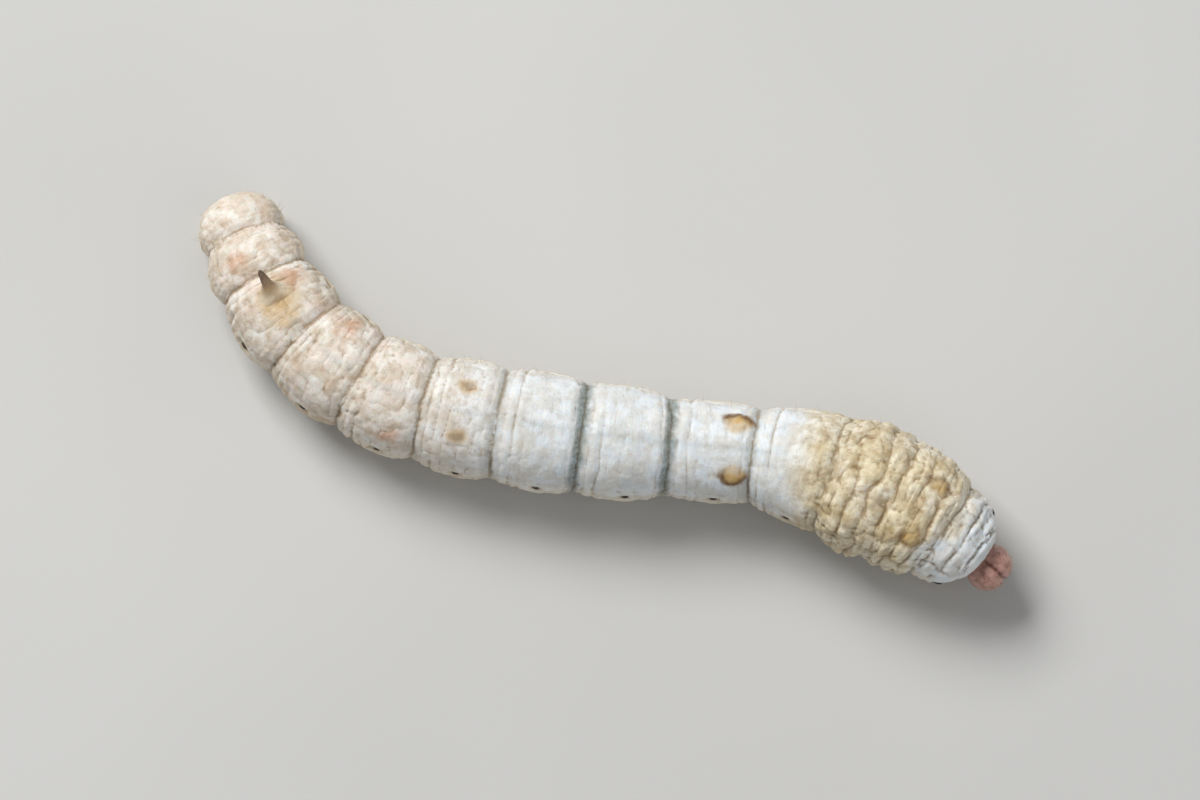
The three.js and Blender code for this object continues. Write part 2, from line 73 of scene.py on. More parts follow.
# The midline's place between belly and back, and the length over which the hind end closes.
AXIS_SHARE = 0.47
TAIL_ROUNDING = 2.6
TAIL_LEAST = 0.0025
# How full the cross-section is, as powers, and the swelling low on its sides.
FULLNESS = {"side": 0.9, "back": 0.9, "belly": 0.8}
FLANK = {"swelling": 0.05, "below": 28, "spread": 24}

# The midline on the floor plan: where it starts, its heading in degrees, and bends as (from, to, turn).
SNOUT = (32.12, -15.32)
HEADING_AT_HEAD = 141
BENDS = [(2, 14, 15), (12, 27, 19), (28, 46, -6), (44, 73, -58)]
SPINE_STEP = 0.05
SLOPE_STEP = 0.1

# The camera looks down onto the back, as in the photo, a little from the animal's right. The frame is a
# window of the photo round the animal, 250 by 167 pixels, seen from the same distance.
CAMERA_ELEVATION = 84.0
CAMERA_DISTANCE = 600.0
PHOTO_PIXELS_PER_MM = 2.593
WINDOW_PIXELS = 250.0
WINDOW_CENTRE_MM = (-0.3, -0.8, 4.0)


def smoothstep(x, low, high):
    t = np.clip((x - low) / (high - low), 0, 1)
    return t * t * (3 - 2 * t)


def bell(x, spread):
    return np.exp(-((x / spread) ** 2))


def cut(x, width):
    """A sharp groove's shape, 1 in its middle."""
    return np.exp(-np.abs(x) / width)


def unit(vector):
    return vector / np.linalg.norm(vector)


def profile(keys):
    """A smooth function through (s, value) keys, level at both ends."""
    at, value = np.array(keys, float).T
    slope = np.zeros(len(at))
    slope[1:-1] = (value[2:] - value[:-2]) / (at[2:] - at[:-2])

    def evaluate(s):
        s = np.clip(s, at[0], at[-1])
        i = np.clip(np.searchsorted(at, s, side="right") - 1, 0, len(at) - 2)
        span = at[i + 1] - at[i]
        t = (s - at[i]) / span
        rise = t * t * (3 - 2 * t)
        bend = span * t * (1 - t) * ((1 - t) * slope[i] - t * slope[i + 1])
        return value[i] * (1 - rise) + value[i + 1] * rise + bend

    return evaluate


def ring_profile(column):
    keys = [(start + ring[1] / 2, ring[column]) for start, ring in zip(STARTS, RINGS)]
    first = (HEAD_LENGTH, COLLAR[column - 2])
    last = (BODY_LENGTH, TAIL_END[column - 2])
    return profile([first, *keys, last])


width_at, back_at, belly_at = (ring_profile(column) for column in (2, 3, 4))


def midline_height(s):
    return belly_at(s) + AXIS_SHARE * (back_at(s) - belly_at(s))


def heading_at(s):
    turns = [math.radians(turn) * smoothstep(s, low, high) for low, high, turn in BENDS]
    return math.radians(HEADING_AT_HEAD) + sum(turns)


spine_s = np.arange(0, BODY_LENGTH + 1, SPINE_STEP)
spine_heading = heading_at(spine_s[:-1] + SPINE_STEP / 2)
spine_x = SNOUT[0] + np.concatenate([[0], np.cumsum(np.cos(spine_heading)) * SPINE_STEP])
spine_y = SNOUT[1] + np.concatenate([[0], np.cumsum(np.sin(spine_heading)) * SPINE_STEP])


def frames_at(s):
    """Places on the midline for an array of s, with the directions to the head, the left and the back."""
    s = np.asarray(s, float)
    along = np.clip(s, 0, BODY_LENGTH)
    plan = [np.interp(along, spine_s, line) for line in (spine_x, spine_y)]
    at = np.stack([*plan, midline_height(s)], -1)
    heading = heading_at(s)
    rise = (midline_height(s + SLOPE_STEP) - midline_height(s - SLOPE_STEP)) / (2 * SLOPE_STEP)
    forward = np.stack([-np.cos(heading), -np.sin(heading), -rise], -1)
    forward /= np.linalg.norm(forward, axis=-1, keepdims=True)
    left = np.stack([-forward[..., 1], forward[..., 0], np.zeros_like(rise)], -1)
    left /= np.linalg.norm(left, axis=-1, keepdims=True)
    return at, forward, left, np.cross(forward, left)


def closing(s):
    """How far the rounding of the hind end has closed the body at s."""
    into = np.clip((s - (BODY_LENGTH - TAIL_ROUNDING)) / TAIL_ROUNDING, 0, 1)
    return np.sqrt(np.clip(1 - into**2, TAIL_LEAST, 1))


def skin_reach(s, angle):
    """Half sizes of the smooth body at s in the direction of the angle: sideways and upward."""
    c, n = np.cos(angle), np.sin(angle)
    axis = midline_height(s)
    tall = np.where(n > 0, back_at(s) - axis, axis - belly_at(s))
    below = np.degrees(np.arctan2(n, np.abs(c)))
    lobe = 1 + FLANK["swelling"] * bell(below + FLANK["below"], FLANK["spread"])
    x = width_at(s) / 2 * lobe * np.sign(c) * np.abs(c) ** FULLNESS["side"]
    y = tall * np.sign(n) * np.abs(n) ** np.where(n > 0, FULLNESS["back"], FULLNESS["belly"])
    return x * closing(s), y * closing(s)


def skin_point(s, angle):
    at, forward, left, up = frames_at(s)
    x, y = skin_reach(s, angle)
    return at + left * x[..., None] + up * y[..., None]


# Smooth noise from a seeded lattice, between -1 and 1.
noise_rng = np.random.default_rng(7)
NOISE_ORDER = noise_rng.permutation(256)
NOISE_VALUES = noise_rng.uniform(-1, 1, 256)
NOISE_SHIFT = 17.31


def lattice_noise(points, size, seed=0):
    cell = np.asarray(points, float) / size + seed * NOISE_SHIFT
    low = np.floor(cell).astype(int)
    t = cell - low
    t = t * t * t * (t * (6 * t - 15) + 10)
    total = np.zeros(len(cell))
    for corner in np.ndindex(2, 2, 2):
        x, y, z = ((low + corner) & 255).T
        key = NOISE_ORDER[(NOISE_ORDER[(NOISE_ORDER[x] + y) & 255] + z) & 255]
        total += NOISE_VALUES[key] * np.prod(np.where(np.array(corner) == 1, t, 1 - t), axis=1)
    return total


# Mesh making
def link(piece):
    bpy.context.scene.collection.objects.link(piece)
    return piece


def fit(piece, slot, *nodes):
    """Put a piece on the body, in the place of the nodes. The slot is not used."""
    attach(piece, "root")
    if nodes:
        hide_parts(*nodes)


def new_object(name, points, faces, material):
    """A smooth mesh object from points in millimetres."""
    mesh = bpy.data.meshes.new(name)
    mesh.from_pydata((np.asarray(points) * MM).tolist(), [], faces)
    mesh.update()
    mesh.polygons.foreach_set("use_smooth", [True] * len(mesh.polygons))
    mesh.materials.append(material)
    return link(bpy.data.objects.new(name, mesh))


def ball(make, **sizes):
    """Points and faces of a ball that one of bmesh's operators makes."""
    shape = bmesh.new()
    make(shape, **sizes)
    points = np.array([vertex.co for vertex in shape.verts])
    faces = [tuple(vertex.index for vertex in face.verts) for face in shape.faces]
    shape.free()
    return points, faces


def loft(rings):
    """Points and faces of a closed surface through rings of points, with a fan over each end."""
    rings = np.asarray(rings, float)
    count, sides = rings.shape[:2]
    points = np.concatenate([rings.reshape(-1, 3), rings[0].mean(0)[None], rings[-1].mean(0)[None]])
    faces = []
    for r in range(count - 1):
        for i in range(sides):
            a, b = r * sides + i, r * sides + (i + 1) % sides
            faces.append((a, b, b + sides, a + sides))
    first, last = len(points) - 2, len(points) - 1
    base = (count - 1) * sides
    for i in range(sides):
        faces.append(((i + 1) % sides, i, first))
        faces.append((base + i, base + (i + 1) % sides, last))
    return points, faces


def joined(pieces):
    """Several (points, faces) as one."""
    points, faces, base = [], [], 0
    for some_points, some_faces in pieces:
        points.append(some_points)
        faces.extend(tuple(base + i for i in face) for face in some_faces)
        base += len(some_points)
    return np.concatenate(points), faces


def circle(sides):
    turn = np.arange(sides) * 2 * math.pi / sides
    return np.cos(turn), np.sin(turn)


def tube(centres, radii, sides):
    """A round body along centres."""
    centres = np.asarray(centres, float)
    along = np.gradient(centres, axis=0)
    along /= np.linalg.norm(along, axis=1, keepdims=True)
    across = unit(np.cross([0, 0, 1.0] if abs(along[0][2]) < 0.9 else [0, 1.0, 0], along[0]))
    c, n = circle(sides)
    rings = []
    for centre, direction, radius in zip(centres, along, radii):
        across = unit(across - direction * across.dot(direction))
        over = np.cross(direction, across)
        rings.append(centre + radius * (c[:, None] * across + n[:, None] * over))
    return loft(rings)


def on_ring(name, share):
    index = NAMES.index(name)
    return STARTS[index] + share * LENGTHS[index]


# Limbs. Each row is a level ring of the limb under the body, as its height, half size across, half size
# along, shift out and shift forward.
PROLEG = [
    (3.6, 1.3, 1.9, 1.9, 0.0),
    (2.4, 1.55, 1.95, 2.25, 0.0),
    (1.7, 1.35, 1.6, 2.4, 0.0),
    (1.2, 1.04, 1.2, 2.43, 0.0),
    (0.8, 0.88, 1.0, 2.42, 0.0),
    (0.45, 0.98, 1.12, 2.4, 0.0),
    (0.15, 1.02, 1.18, 2.38, 0.0),
    (0.0, 0.86, 1.0, 2.36, 0.0),
]
CLASPER = [
    (3.9, 1.0, 1.3, 1.5, 0.35),
    (2.8, 1.35, 1.65, 1.9, 0.2),
    (2.0, 1.35, 1.7, 2.15, 0.05),
    (1.3, 1.1, 1.4, 2.25, -0.05),
    (0.9, 1.0, 1.25, 2.25, -0.1),
    (0.45, 1.12, 1.4, 2.25, -0.1),
    (0.15, 1.15, 1.45, 2.25, -0.1),
    (0.0, 0.98, 1.25, 2.25, -0.1),
]
# The fleshy root of a walking leg.
LEG_ROOT = [
    (4.3, 1.1, 1.25, 1.5, -0.2),
    (3.1, 1.3, 1.4, 1.95, -0.12),
    (2.4, 1.12, 1.2, 2.12, -0.05),
    (2.0, 0.84, 0.9, 2.22, 0.0),
]
# A walking leg: three horny joints with pale skin between them.
LEG = [
    (4.0, 0.85, 0.95, 1.75, -0.2),
    (2.5, 0.82, 0.9, 2.15, -0.1),
    (2.1, 0.76, 0.82, 2.23, -0.03),
    (1.92, 0.68, 0.74, 2.25, 0.0),
    (1.82, 0.55, 0.6, 2.25, 0.05),
    (1.7, 0.6, 0.65, 2.24, 0.1),
    (1.5, 0.59, 0.63, 2.22, 0.15),
    (1.15, 0.5, 0.54, 2.16, 0.25),
    (1.03, 0.38, 0.41, 2.12, 0.3),
    (0.92, 0.44, 0.46, 2.06, 0.35),
    (0.7, 0.4, 0.43, 1.99, 0.4),
    (0.46, 0.3, 0.32, 1.9, 0.47),
    (0.36, 0.2, 0.22, 1.84, 0.5),
]
LEG_SHARE = 0.5
PROLEG_RINGS = (3, 4, 5, 6)
# The soft limbs: ring, share along it, form, number of sides and number of hooks.
SOFT_LIMBS = [(f"abdomen_{number}", 0.48, PROLEG, 40, 22) for number in PROLEG_RINGS]
SOFT_LIMBS.append(("abdomen_10", 0.3, CLASPER, 44, 24))
SIDES = {"left": 1, "right": -1}


def limb_frame(s, side):
    """The midline's place on the floor, and the directions ahead and out to the side, both level."""
    at, forward, left, _ = frames_at(np.array([s]))
    return at[0] * (1, 1, 0), unit(forward[0] * (1, 1, 0)), left[0] * side


def limb_profiles(marks):
    """Functions of minus the height for a limb's columns."""
    heights = [-mark[0] for mark in marks]
    return [profile(list(zip(heights, column))) for column in list(zip(*marks))[1:]]


def limb(s, side, marks, sides, steps=28):
    """A limb of level rings through its marks, from the top down."""
    base, ahead, out = limb_frame(s, side)
    columns = limb_profiles(marks)
    c, n = circle(sides)
    rings = []
    for height in np.linspace(-marks[0][0], -marks[-1][0], steps):
        across, along, shift, lead = [column(height) for column in columns]
        centre = base + (0, 0, -height) + out * shift + ahead * lead
        rings.append(centre + out * across * c[:, None] + ahead * along * n[:, None])
    rings = np.array(rings)
    return loft(rings if side > 0 else rings[:, ::-1])


# The horn on the back of the eighth ring of the abdomen.
HORN = {"share": 0.7, "length": 2.0, "base": 0.72, "tip": 0.2, "taper": 0.8}
HORN_BEND = {"lean": 0.9, "early": 0.35, "droop": 0.35}
HORN_FOOT = {"sunk": 1.3, "flare": 0.35, "spread": 0.5}
HORN_END = (0.8, 0.4)


def horn_line():
    s = np.array([on_ring("abdomen_8", HORN["share"])])
    root = skin_point(s, np.array([math.pi / 2]))[0]
    _, forward, _, up = (part[0] for part in frames_at(s))
    heights = np.linspace(-HORN_FOOT["sunk"], HORN["length"], 24)
    share = np.clip(heights / HORN["length"], 0, 1)
    rise = heights - HORN_BEND["droop"] * share**2
    back = -HORN_BEND["lean"] * heights * (HORN_BEND["early"] + (1 - HORN_BEND["early"]) * share)
    centres = root + up * rise[:, None] + forward * back[:, None]
    radii = HORN["tip"] + (HORN["base"] - HORN["tip"]) * (1 - share) ** HORN["taper"]
    radii += HORN_FOOT["flare"] * bell(heights, HORN_FOOT["spread"])
    radii[-2:] *= HORN_END
    return centres, radii


# The neck's rolled edge from the inside out: share of the first ring's size, and how far ahead of it.
NECK_ROLL = [(0.3, -0.6), (0.55, -0.3), (0.7, 0.1), (0.77, 0.34), (0.92, 0.3)]
# Spacing and number of points of the smooth body.
BODY_STEP = 0.2
TAIL_STEPS = 22
BODY_SIDES = 96
# The skin: smooth solids fused by remeshing, eased where they meet, then folded and wrinkled. Its grid
# size, how far the easing reaches from where a limb meets the body, how far off the body's surface a limb's
# point may be to count as meeting it, and the heights between which the folds fade out to the sole.
VOXEL = 0.145
EASE_REACH = 0.75
MEETING_GAP = 0.35
SOLE = (0.05, 0.5)


def body_loft():
    stations = np.arange(HEAD_LENGTH, BODY_LENGTH - TAIL_ROUNDING, BODY_STEP)
    turned = np.linspace(0, 0.5 * math.pi, TAIL_STEPS)[:-1]
    stations = np.concatenate([stations, BODY_LENGTH - TAIL_ROUNDING + TAIL_ROUNDING * np.sin(turned)])
    angles = np.arange(BODY_SIDES) * 2 * math.pi / BODY_SIDES
    rings = skin_point(*np.meshgrid(stations, angles, indexing="ij"))
    # The front rolls forward and in, so that it hugs the back of the head.
    centre = rings[0].mean(0)
    _, forward, _, _ = frames_at(np.array([HEAD_LENGTH]))
    roll = [centre + (rings[0] - centre) * size + forward[0] * ahead for size, ahead in NECK_ROLL]
    return loft(np.concatenate([roll, rings]))


def limb_pieces():
    pieces = []
    for side in SIDES.values():
        for name, share, marks, sides, _ in SOFT_LIMBS:
            pieces.append(limb(on_ring(name, share), side, marks, sides))
        pieces += [limb(on_ring(name, LEG_SHARE), side, LEG_ROOT, 36) for name in THORAX]
    return [*pieces, tube(*horn_line(), 28)]


def remeshed(points, faces, voxel):
    """One closed surface round everything, as arrays of points and four-sided faces."""
    mesh = bpy.data.meshes.new("rough")
    mesh.from_pydata(points.tolist(), [], faces)
    rough = link(bpy.data.objects.new("rough", mesh))
    modifier = rough.modifiers.new("remesh", "REMESH")
    modifier.mode = "VOXEL"
    modifier.voxel_size = voxel
    depsgraph = bpy.context.evaluated_depsgraph_get()
    fine = bpy.data.meshes.new_from_object(rough.evaluated_get(depsgraph))
    places = np.empty(len(fine.vertices) * 3)
    fine.vertices.foreach_get("co", places)
    corners = np.empty(len(fine.loops), int)
    fine.loops.foreach_get("vertex_index", corners)
    edges = np.empty(len(fine.edges) * 2, int)
    fine.edges.foreach_get("vertices", edges)
    bpy.data.objects.remove(rough)
    bpy.data.meshes.remove(mesh)
    bpy.data.meshes.remove(fine)
    return places.reshape(-1, 3), corners.reshape(-1, 4), edges.reshape(-1, 2)


def eased(places, edges, weight, rounds):
    """Move each point towards the middle of its neighbours, by its weight, a number of times."""
    ends = np.concatenate([edges[:, 0], edges[:, 1]])
    others = np.concatenate([edges[:, 1], edges[:, 0]])
    count = np.bincount(ends, minlength=len(places))
    for _ in range(rounds):
        middle = np.stack([np.bincount(ends, places[others, k], len(places)) for k in range(3)], 1)
        places = places + weight[:, None] * (middle / count[:, None] - places)
    return places


def vertex_normals(places, quads):
    diagonal_a = places[quads[:, 2]] - places[quads[:, 0]]
    diagonal_b = places[quads[:, 3]] - places[quads[:, 1]]
    facing = np.cross(diagonal_a, diagonal_b)
    normals = np.zeros_like(places)
    for corner in range(4):
        for k in range(3):
            normals[:, k] += np.bincount(quads[:, corner], facing[:, k], len(places))
    return normals / np.linalg.norm(normals, axis=1, keepdims=True)


def body_coordinates(places):
    """For each point its place on a straight body as (s, left, up), its angle, and how far it stands out
    of the smooth body."""
    tree = KDTree(len(spine_s))
    for i, (x, y) in enumerate(zip(spine_x, spine_y)):
        tree.insert((x, y, 0), i)
    tree.balance()
    nearest = np.array([tree.find((x, y, 0))[1] for x, y in places[:, :2]])
    s = spine_s[nearest]
    for _ in range(2):
        at, forward, left, up = frames_at(s)
        s = np.clip(s - ((places - at) * forward).sum(1), 0, BODY_LENGTH)
    at, forward, left, up = frames_at(s)
    x = ((places - at) * left).sum(1)
    y = ((places - at) * up).sum(1)
    angle = np.arctan2(y, x)
    reach_x, reach_y = skin_reach(s, angle)
    unbent = np.stack([s, x, y], 1)
    return unbent, angle, np.hypot(x, y) - np.hypot(reach_x, reach_y)


def ring_share(s):
    """The ring each s lies in, and how far along it."""
    index = np.clip(np.searchsorted(STARTS, s, side="right") - 1, 0, len(RINGS) - 1)
    return index, (s - STARTS[index]) / LENGTHS[index]


# Breathing holes: degrees over the flank, share along the ring, half sizes, and how much larger the end
# ones are.
BREATHING = ["prothorax"] + [f"abdomen_{number}" for number in range(1, 9)]
SPIRACLE = {"angle": 4, "share": 0.42, "long": 0.44, "narrow": 0.25, "ends": 1.25}

# How far the thin bluish skin in front of a ring is stretched, by the ring's number from the head.
STRETCH = {3: 0.2, 4: 0.35, 5: 1.0, 6: 1.0, 7: 0.35, 8: 0.15, 9: 0.12, 10: 0.12}
SLACK_LOST = 0.4

# Creases between the rings: depth and spread of the broad and the sharp part, and the place, depth and
# spread of a fold on each side.
BROAD_CREASE = (0.28, 0.6)
SHARP_CREASE = (0.15, 0.16)
CREASE_FOLDS = [(0.75, 0.06, 0.13), (-0.7, 0.05, 0.12)]
RING_SWELLING = 0.10
# Folds that part each ring of the abdomen: share along the ring, depth and spread.
ABDOMEN_FOLDS = [
    (0.1, 0.03, 0.12),
    (0.3, 0.025, 0.2),
    (0.5, 0.03, 0.25),
    (0.64, 0.06, 0.25),
    (0.76, 0.15, 0.24),
    (0.88, 0.07, 0.18),
]
# Folds that part each ring of the thorax: share along the ring and depth.
THORAX_FOLDS = [(0.3, 0.21), (0.62, 0.23), (0.84, 0.12)]
# Depths of the thorax's wrinkles: along the rings, across them, and lumps.
THORAX_WRINKLES = {"along": 0.11, "across": 0.13, "lumps": 0.09}
# Crumpled skin: size, depth and noise number of each layer, and its strength by region.
CRUMPLES = [(1.3, 0.11, 17), (0.75, 0.075, 18)]
CRUMPLED = {"everywhere": 0.3, "thorax": 0.7, "rear": 0.35}
# Folds along the flanks: degrees from the back, depth, and how far the scallops lift them.
FLANK_FOLDS = {"low": (112, 0.26), "high": (74, 0.08), "spread": 6, "scallop": 5, "wander": 4}
FLANK_SWELLING = {"height": 0.13, "at": 97, "spread": 10}
# The dimple of a breathing hole and its swollen edge: depth and reach.
DIMPLE = {"depth": 0.08, "reach": 0.5, "edge": 0.07, "edge_at": 0.85, "edge_spread": 0.3, "calm": 0.35}
# The plate over the hind end: height of its edge, its arch, and the cleft below it.
PLATE = {"edge": 1.0, "arch": 0.1, "broad": (0.22, 0.3), "sharp": (0.16, 0.12), "cleft": (0.25, 0.28)}
# Level folds of the limbs: height over the floor, depth and spread.
LIMB_FOLDS = [(0.5, 0.05, 0.1), (0.86, 0.14, 0.16), (1.3, 0.1, 0.14), (1.75, 0.12, 0.18)]
LIMB_TOP = 3.0
HORN_LEVEL = 6


def groove(x, depth, spread):
    return depth * bell(x, spread)


def hole_distance(s, side):
    """Distance from the nearest breathing hole, along the body and round it."""
    hole_s = np.array([on_ring(name, SPIRACLE["share"]) for name in BREATHING])
    along = np.min(np.abs(s[:, None] - hole_s), axis=1)
    return np.hypot(along, np.radians(side - 90 + SPIRACLE["angle"]) * width_at(s) / 2)


def skin_relief(unbent, around, out, places):
    """Height of the skin's folds and wrinkles. around is 0 on the back and 180 on the belly."""

    def noise(size, number):
        return lattice_noise(places, size, number)

    s = unbent[:, 0]
    index, share = ring_share(s)
    on_body = bell(np.clip(out, 0, None), 0.5)
    thorax = 1 - smoothstep(s, STARTS[3] - 0.6, STARTS[3] + 2.2)
    abdomen = 1 - thorax
    tail = smoothstep(s, BODY_LENGTH - 3.6, BODY_LENGTH - 2.4)
    wander = 0.22 * noise(2.6, 1) + 0.1 * noise(1.0, 2)
    side = np.abs(around)
    bulge = np.sin(math.pi * np.clip(share, 0, 1))
    height = RING_SWELLING * bulge**0.7
    # Creases between the rings, drawn flat where the skin is stretched.
    uneven = np.clip(0.8 + 0.9 * noise(1.7, 5), 0.25, 1.2)
    for number, start in enumerate(STARTS[1:], 1):
        slack = 1 - SLACK_LOST * STRETCH.get(number, 0)
        x = s - start + wander * (0.9 + thorax * 0.7)
        sharp = SHARP_CREASE[0] * uneven * cut(x, SHARP_CREASE[1])
        height -= slack * (groove(x, *BROAD_CREASE) + sharp)
        height -= sum(groove(x - place, depth, spread) for place, depth, spread in CREASE_FOLDS)
    for number, (place, depth, spread) in enumerate(ABDOMEN_FOLDS):
        fade = np.clip(0.75 + 0.6 * noise(2.8, 3 + number), 0, 1.3)
        x = (share - place) * LENGTHS[index] + wander * 0.9
        flank = 0.75 + 0.5 * smoothstep(side, 35, 80)
        shape = 0.6 * bell(x, spread) + 0.4 * cut(x, 0.12)
        height -= (abdomen * (1 - tail)) * depth * flank * fade * shape
    height -= abdomen * 0.07 * smoothstep(share, 0.6, 0.95)
    # Deep, branching folds on the swollen rings behind the head.
    warp = wander * 2.6 + 0.55 * noise(1.7, 11)
    for place, depth in THORAX_FOLDS:
        x = (share - place) * LENGTHS[index] + warp * 0.6
        height -= thorax * depth * (cut(x, 0.2) * 0.6 + 0.6 * bell(x, 0.45))
    wrinkle = 1 - np.abs(np.sin((s + warp) * 2.5 + 2.2 * noise(2.2, 12)))
    height -= thorax * THORAX_WRINKLES["along"] * wrinkle**2 * (0.6 + 0.5 * noise(1.9, 13))
    height += thorax * THORAX_WRINKLES["lumps"] * noise(1.4, 16)
    # Crumpled skin between the folds.
    rear = smoothstep(s, STARTS[6], STARTS[8])
    crumpled = CRUMPLED["everywhere"] + CRUMPLED["thorax"] * thorax + CRUMPLED["rear"] * rear
    for size, depth, number in CRUMPLES:
        ridge = np.abs(lattice_noise(unbent / (0.75, 1.25, 1.25), size, number))
        height -= crumpled * depth * np.clip(1 - 3.2 * ridge, 0, 1) ** 1.5
    across = 1 - np.abs(np.sin(np.radians(side) * 6 + 3.2 * noise(2.0, 14)))
    height -= thorax * THORAX_WRINKLES["across"] * across**3 * (0.5 + 0.5 * noise(1.6, 15))
    # The fold below the breathing holes, scalloped ring by ring, and a lesser one above them.
    scallop = FLANK_FOLDS["scallop"] * np.sin(math.pi * share) ** 2
    (low, low_depth), (high, high_depth) = FLANK_FOLDS["low"], FLANK_FOLDS["high"]
    low_fold = side - low - scallop + FLANK_FOLDS["wander"] * noise(1.8, 21)
    high_fold = side - high + scallop + FLANK_FOLDS["wander"] * noise(1.8, 22)
    spread = FLANK_FOLDS["spread"]
    height -= (1 - tail) * (groove(low_fold, low_depth, spread) + groove(high_fold, high_depth, spread))
    swelling = bell(side - FLANK_SWELLING["at"], FLANK_SWELLING["spread"]) * np.sin(math.pi * share)
    height += (1 - tail) * FLANK_SWELLING["height"] * swelling
    # Each breathing hole lies in a dimple with a soft swollen edge.
    from_hole = hole_distance(s, side)
    height *= 1 - 0.9 * bell(np.clip(from_hole - DIMPLE["calm"], 0, None), DIMPLE["calm"])
    height += groove(from_hole - DIMPLE["edge_at"], DIMPLE["edge"], DIMPLE["edge_spread"])
    height -= groove(from_hole, DIMPLE["depth"], DIMPLE["reach"])
    # The lower edge of the plate over the hind end, and a cleft below it.
    edge = unbent[:, 2] + PLATE["edge"] - PLATE["arch"] * unbent[:, 1] ** 2 + wander * 0.5
    height -= tail * (groove(edge, *PLATE["broad"]) + PLATE["sharp"][0] * cut(edge, PLATE["sharp"][1]))
    height -= tail * groove(unbent[:, 1], *PLATE["cleft"]) * smoothstep(-edge, 0.0, 0.4)
    # Lumps and fine wrinkles, most of them running across.
    height += 0.055 * noise(2.4, 31) + (0.022 + 0.04 * thorax) * noise(0.95, 32)
    near_crease = np.clip(1 - np.min(np.abs(s[:, None] - STARTS[None, 1:]), axis=1) / 2.2, 0, 1)
    pleats = lattice_noise(unbent / (0.36, 1.5, 1.5), 1.0, 33)
    height += (0.020 + 0.030 * near_crease + 0.02 * thorax) * pleats
    height += 0.012 * lattice_noise(unbent / (1.0, 1.3, 1.3), 0.38, 34)
    # The limbs: soft level folds.
    on_limb = (1 - on_body) * (places[:, 2] < LIMB_TOP)
    level = places[:, 2] + 0.12 * noise(1.1, 41)
    limb_height = 0.04 * noise(0.55, 42)
    for z, depth, spread in LIMB_FOLDS:
        limb_height -= depth * (0.6 * bell(level - z, spread) + 0.4 * cut(level - z, 0.06))
    horn_grain = (1 - on_body) * (places[:, 2] > HORN_LEVEL) * 0.03 * noise(0.35, 43)
    return height * on_body + on_limb * limb_height + horn_grain


def build_skin():
    limbs = limb_pieces()
    places, quads, edges = remeshed(*joined([body_loft(), *limbs]), VOXEL)
    # Ease the meeting lines of body and limbs.
    limb_points = np.concatenate([points for points, _ in limbs])
    _, _, limb_out = body_coordinates(limb_points)
    meeting = limb_points[np.abs(limb_out) < MEETING_GAP]
    tree = KDTree(len(meeting))
    for i, point in enumerate(meeting):
        tree.insert(point, i)
    tree.balance()
    distance = np.array([tree.find(point)[2] for point in places])
    places = eased(places, edges, 0.05 + 0.5 * bell(distance, EASE_REACH), 40)
    places = eased(places, edges, np.full(len(places), 0.5), 3)
    unbent, angle, out = body_coordinates(places)
    around = np.degrees((math.pi / 2 - angle + math.pi) % (2 * math.pi) - math.pi)
    height = skin_relief(unbent, around, out, places) * smoothstep(places[:, 2], *SOLE)
    places = places + vertex_normals(places, quads) * height[:, None]
    places[:, 2] = np.clip(places[:, 2], 0, None)
    return places, quads, unbent, around, out


def srgb(red, green, blue):
    """A linear colour from one in 0 to 255."""

    def linear(value):
        value /= 255
        return value / 12.92 if value <= 0.04045 else ((value + 0.055) / 1.055) ** 2.4

    return (linear(red), linear(green), linear(blue), 1.0)


WAX_WHITE = srgb(243, 241, 234)
COOL_WHITE = srgb(222, 230, 236)
CREAM = srgb(228, 215, 182)
PINKISH = srgb(230, 208, 196)
MEMBRANE = srgb(128, 140, 138)
OCHRE = srgb(204, 166, 92)
RUSTY = srgb(212, 160, 124)
BROWN = srgb(108, 74, 38)
DARK_BROWN = srgb(52, 32, 20)
SOFT_JOINT = srgb(226, 206, 172)

# Marks on the back: ring, share along it, distance from the midline over the skin, and half sizes.
HALF_MOON = ("abdomen_2", 0.19, 2.05, 1.3, 0.95)
STAR_SPOT = ("abdomen_5", 0.46, 2.05, 0.75, 0.5)
EYE_MARK = ("mesothorax", 0.45, 2.5, 0.85, 0.7)
# The ochre patch in front of the horn: how far in front, and half sizes.
HORN_PATCH = (0.9, 2.3, 1.8)
# Rust-coloured blotches on the hind rings: ring, share, degrees from the back to the left, size.
BLOTCHES = [
    ("abdomen_7", 0.5, -42, 1.5),
    ("abdomen_8", 0.75, -30, 1.2),
    ("abdomen_9", 0.4, 20, 1.1),
    ("abdomen_6", 0.3, 48, 1.1),
]


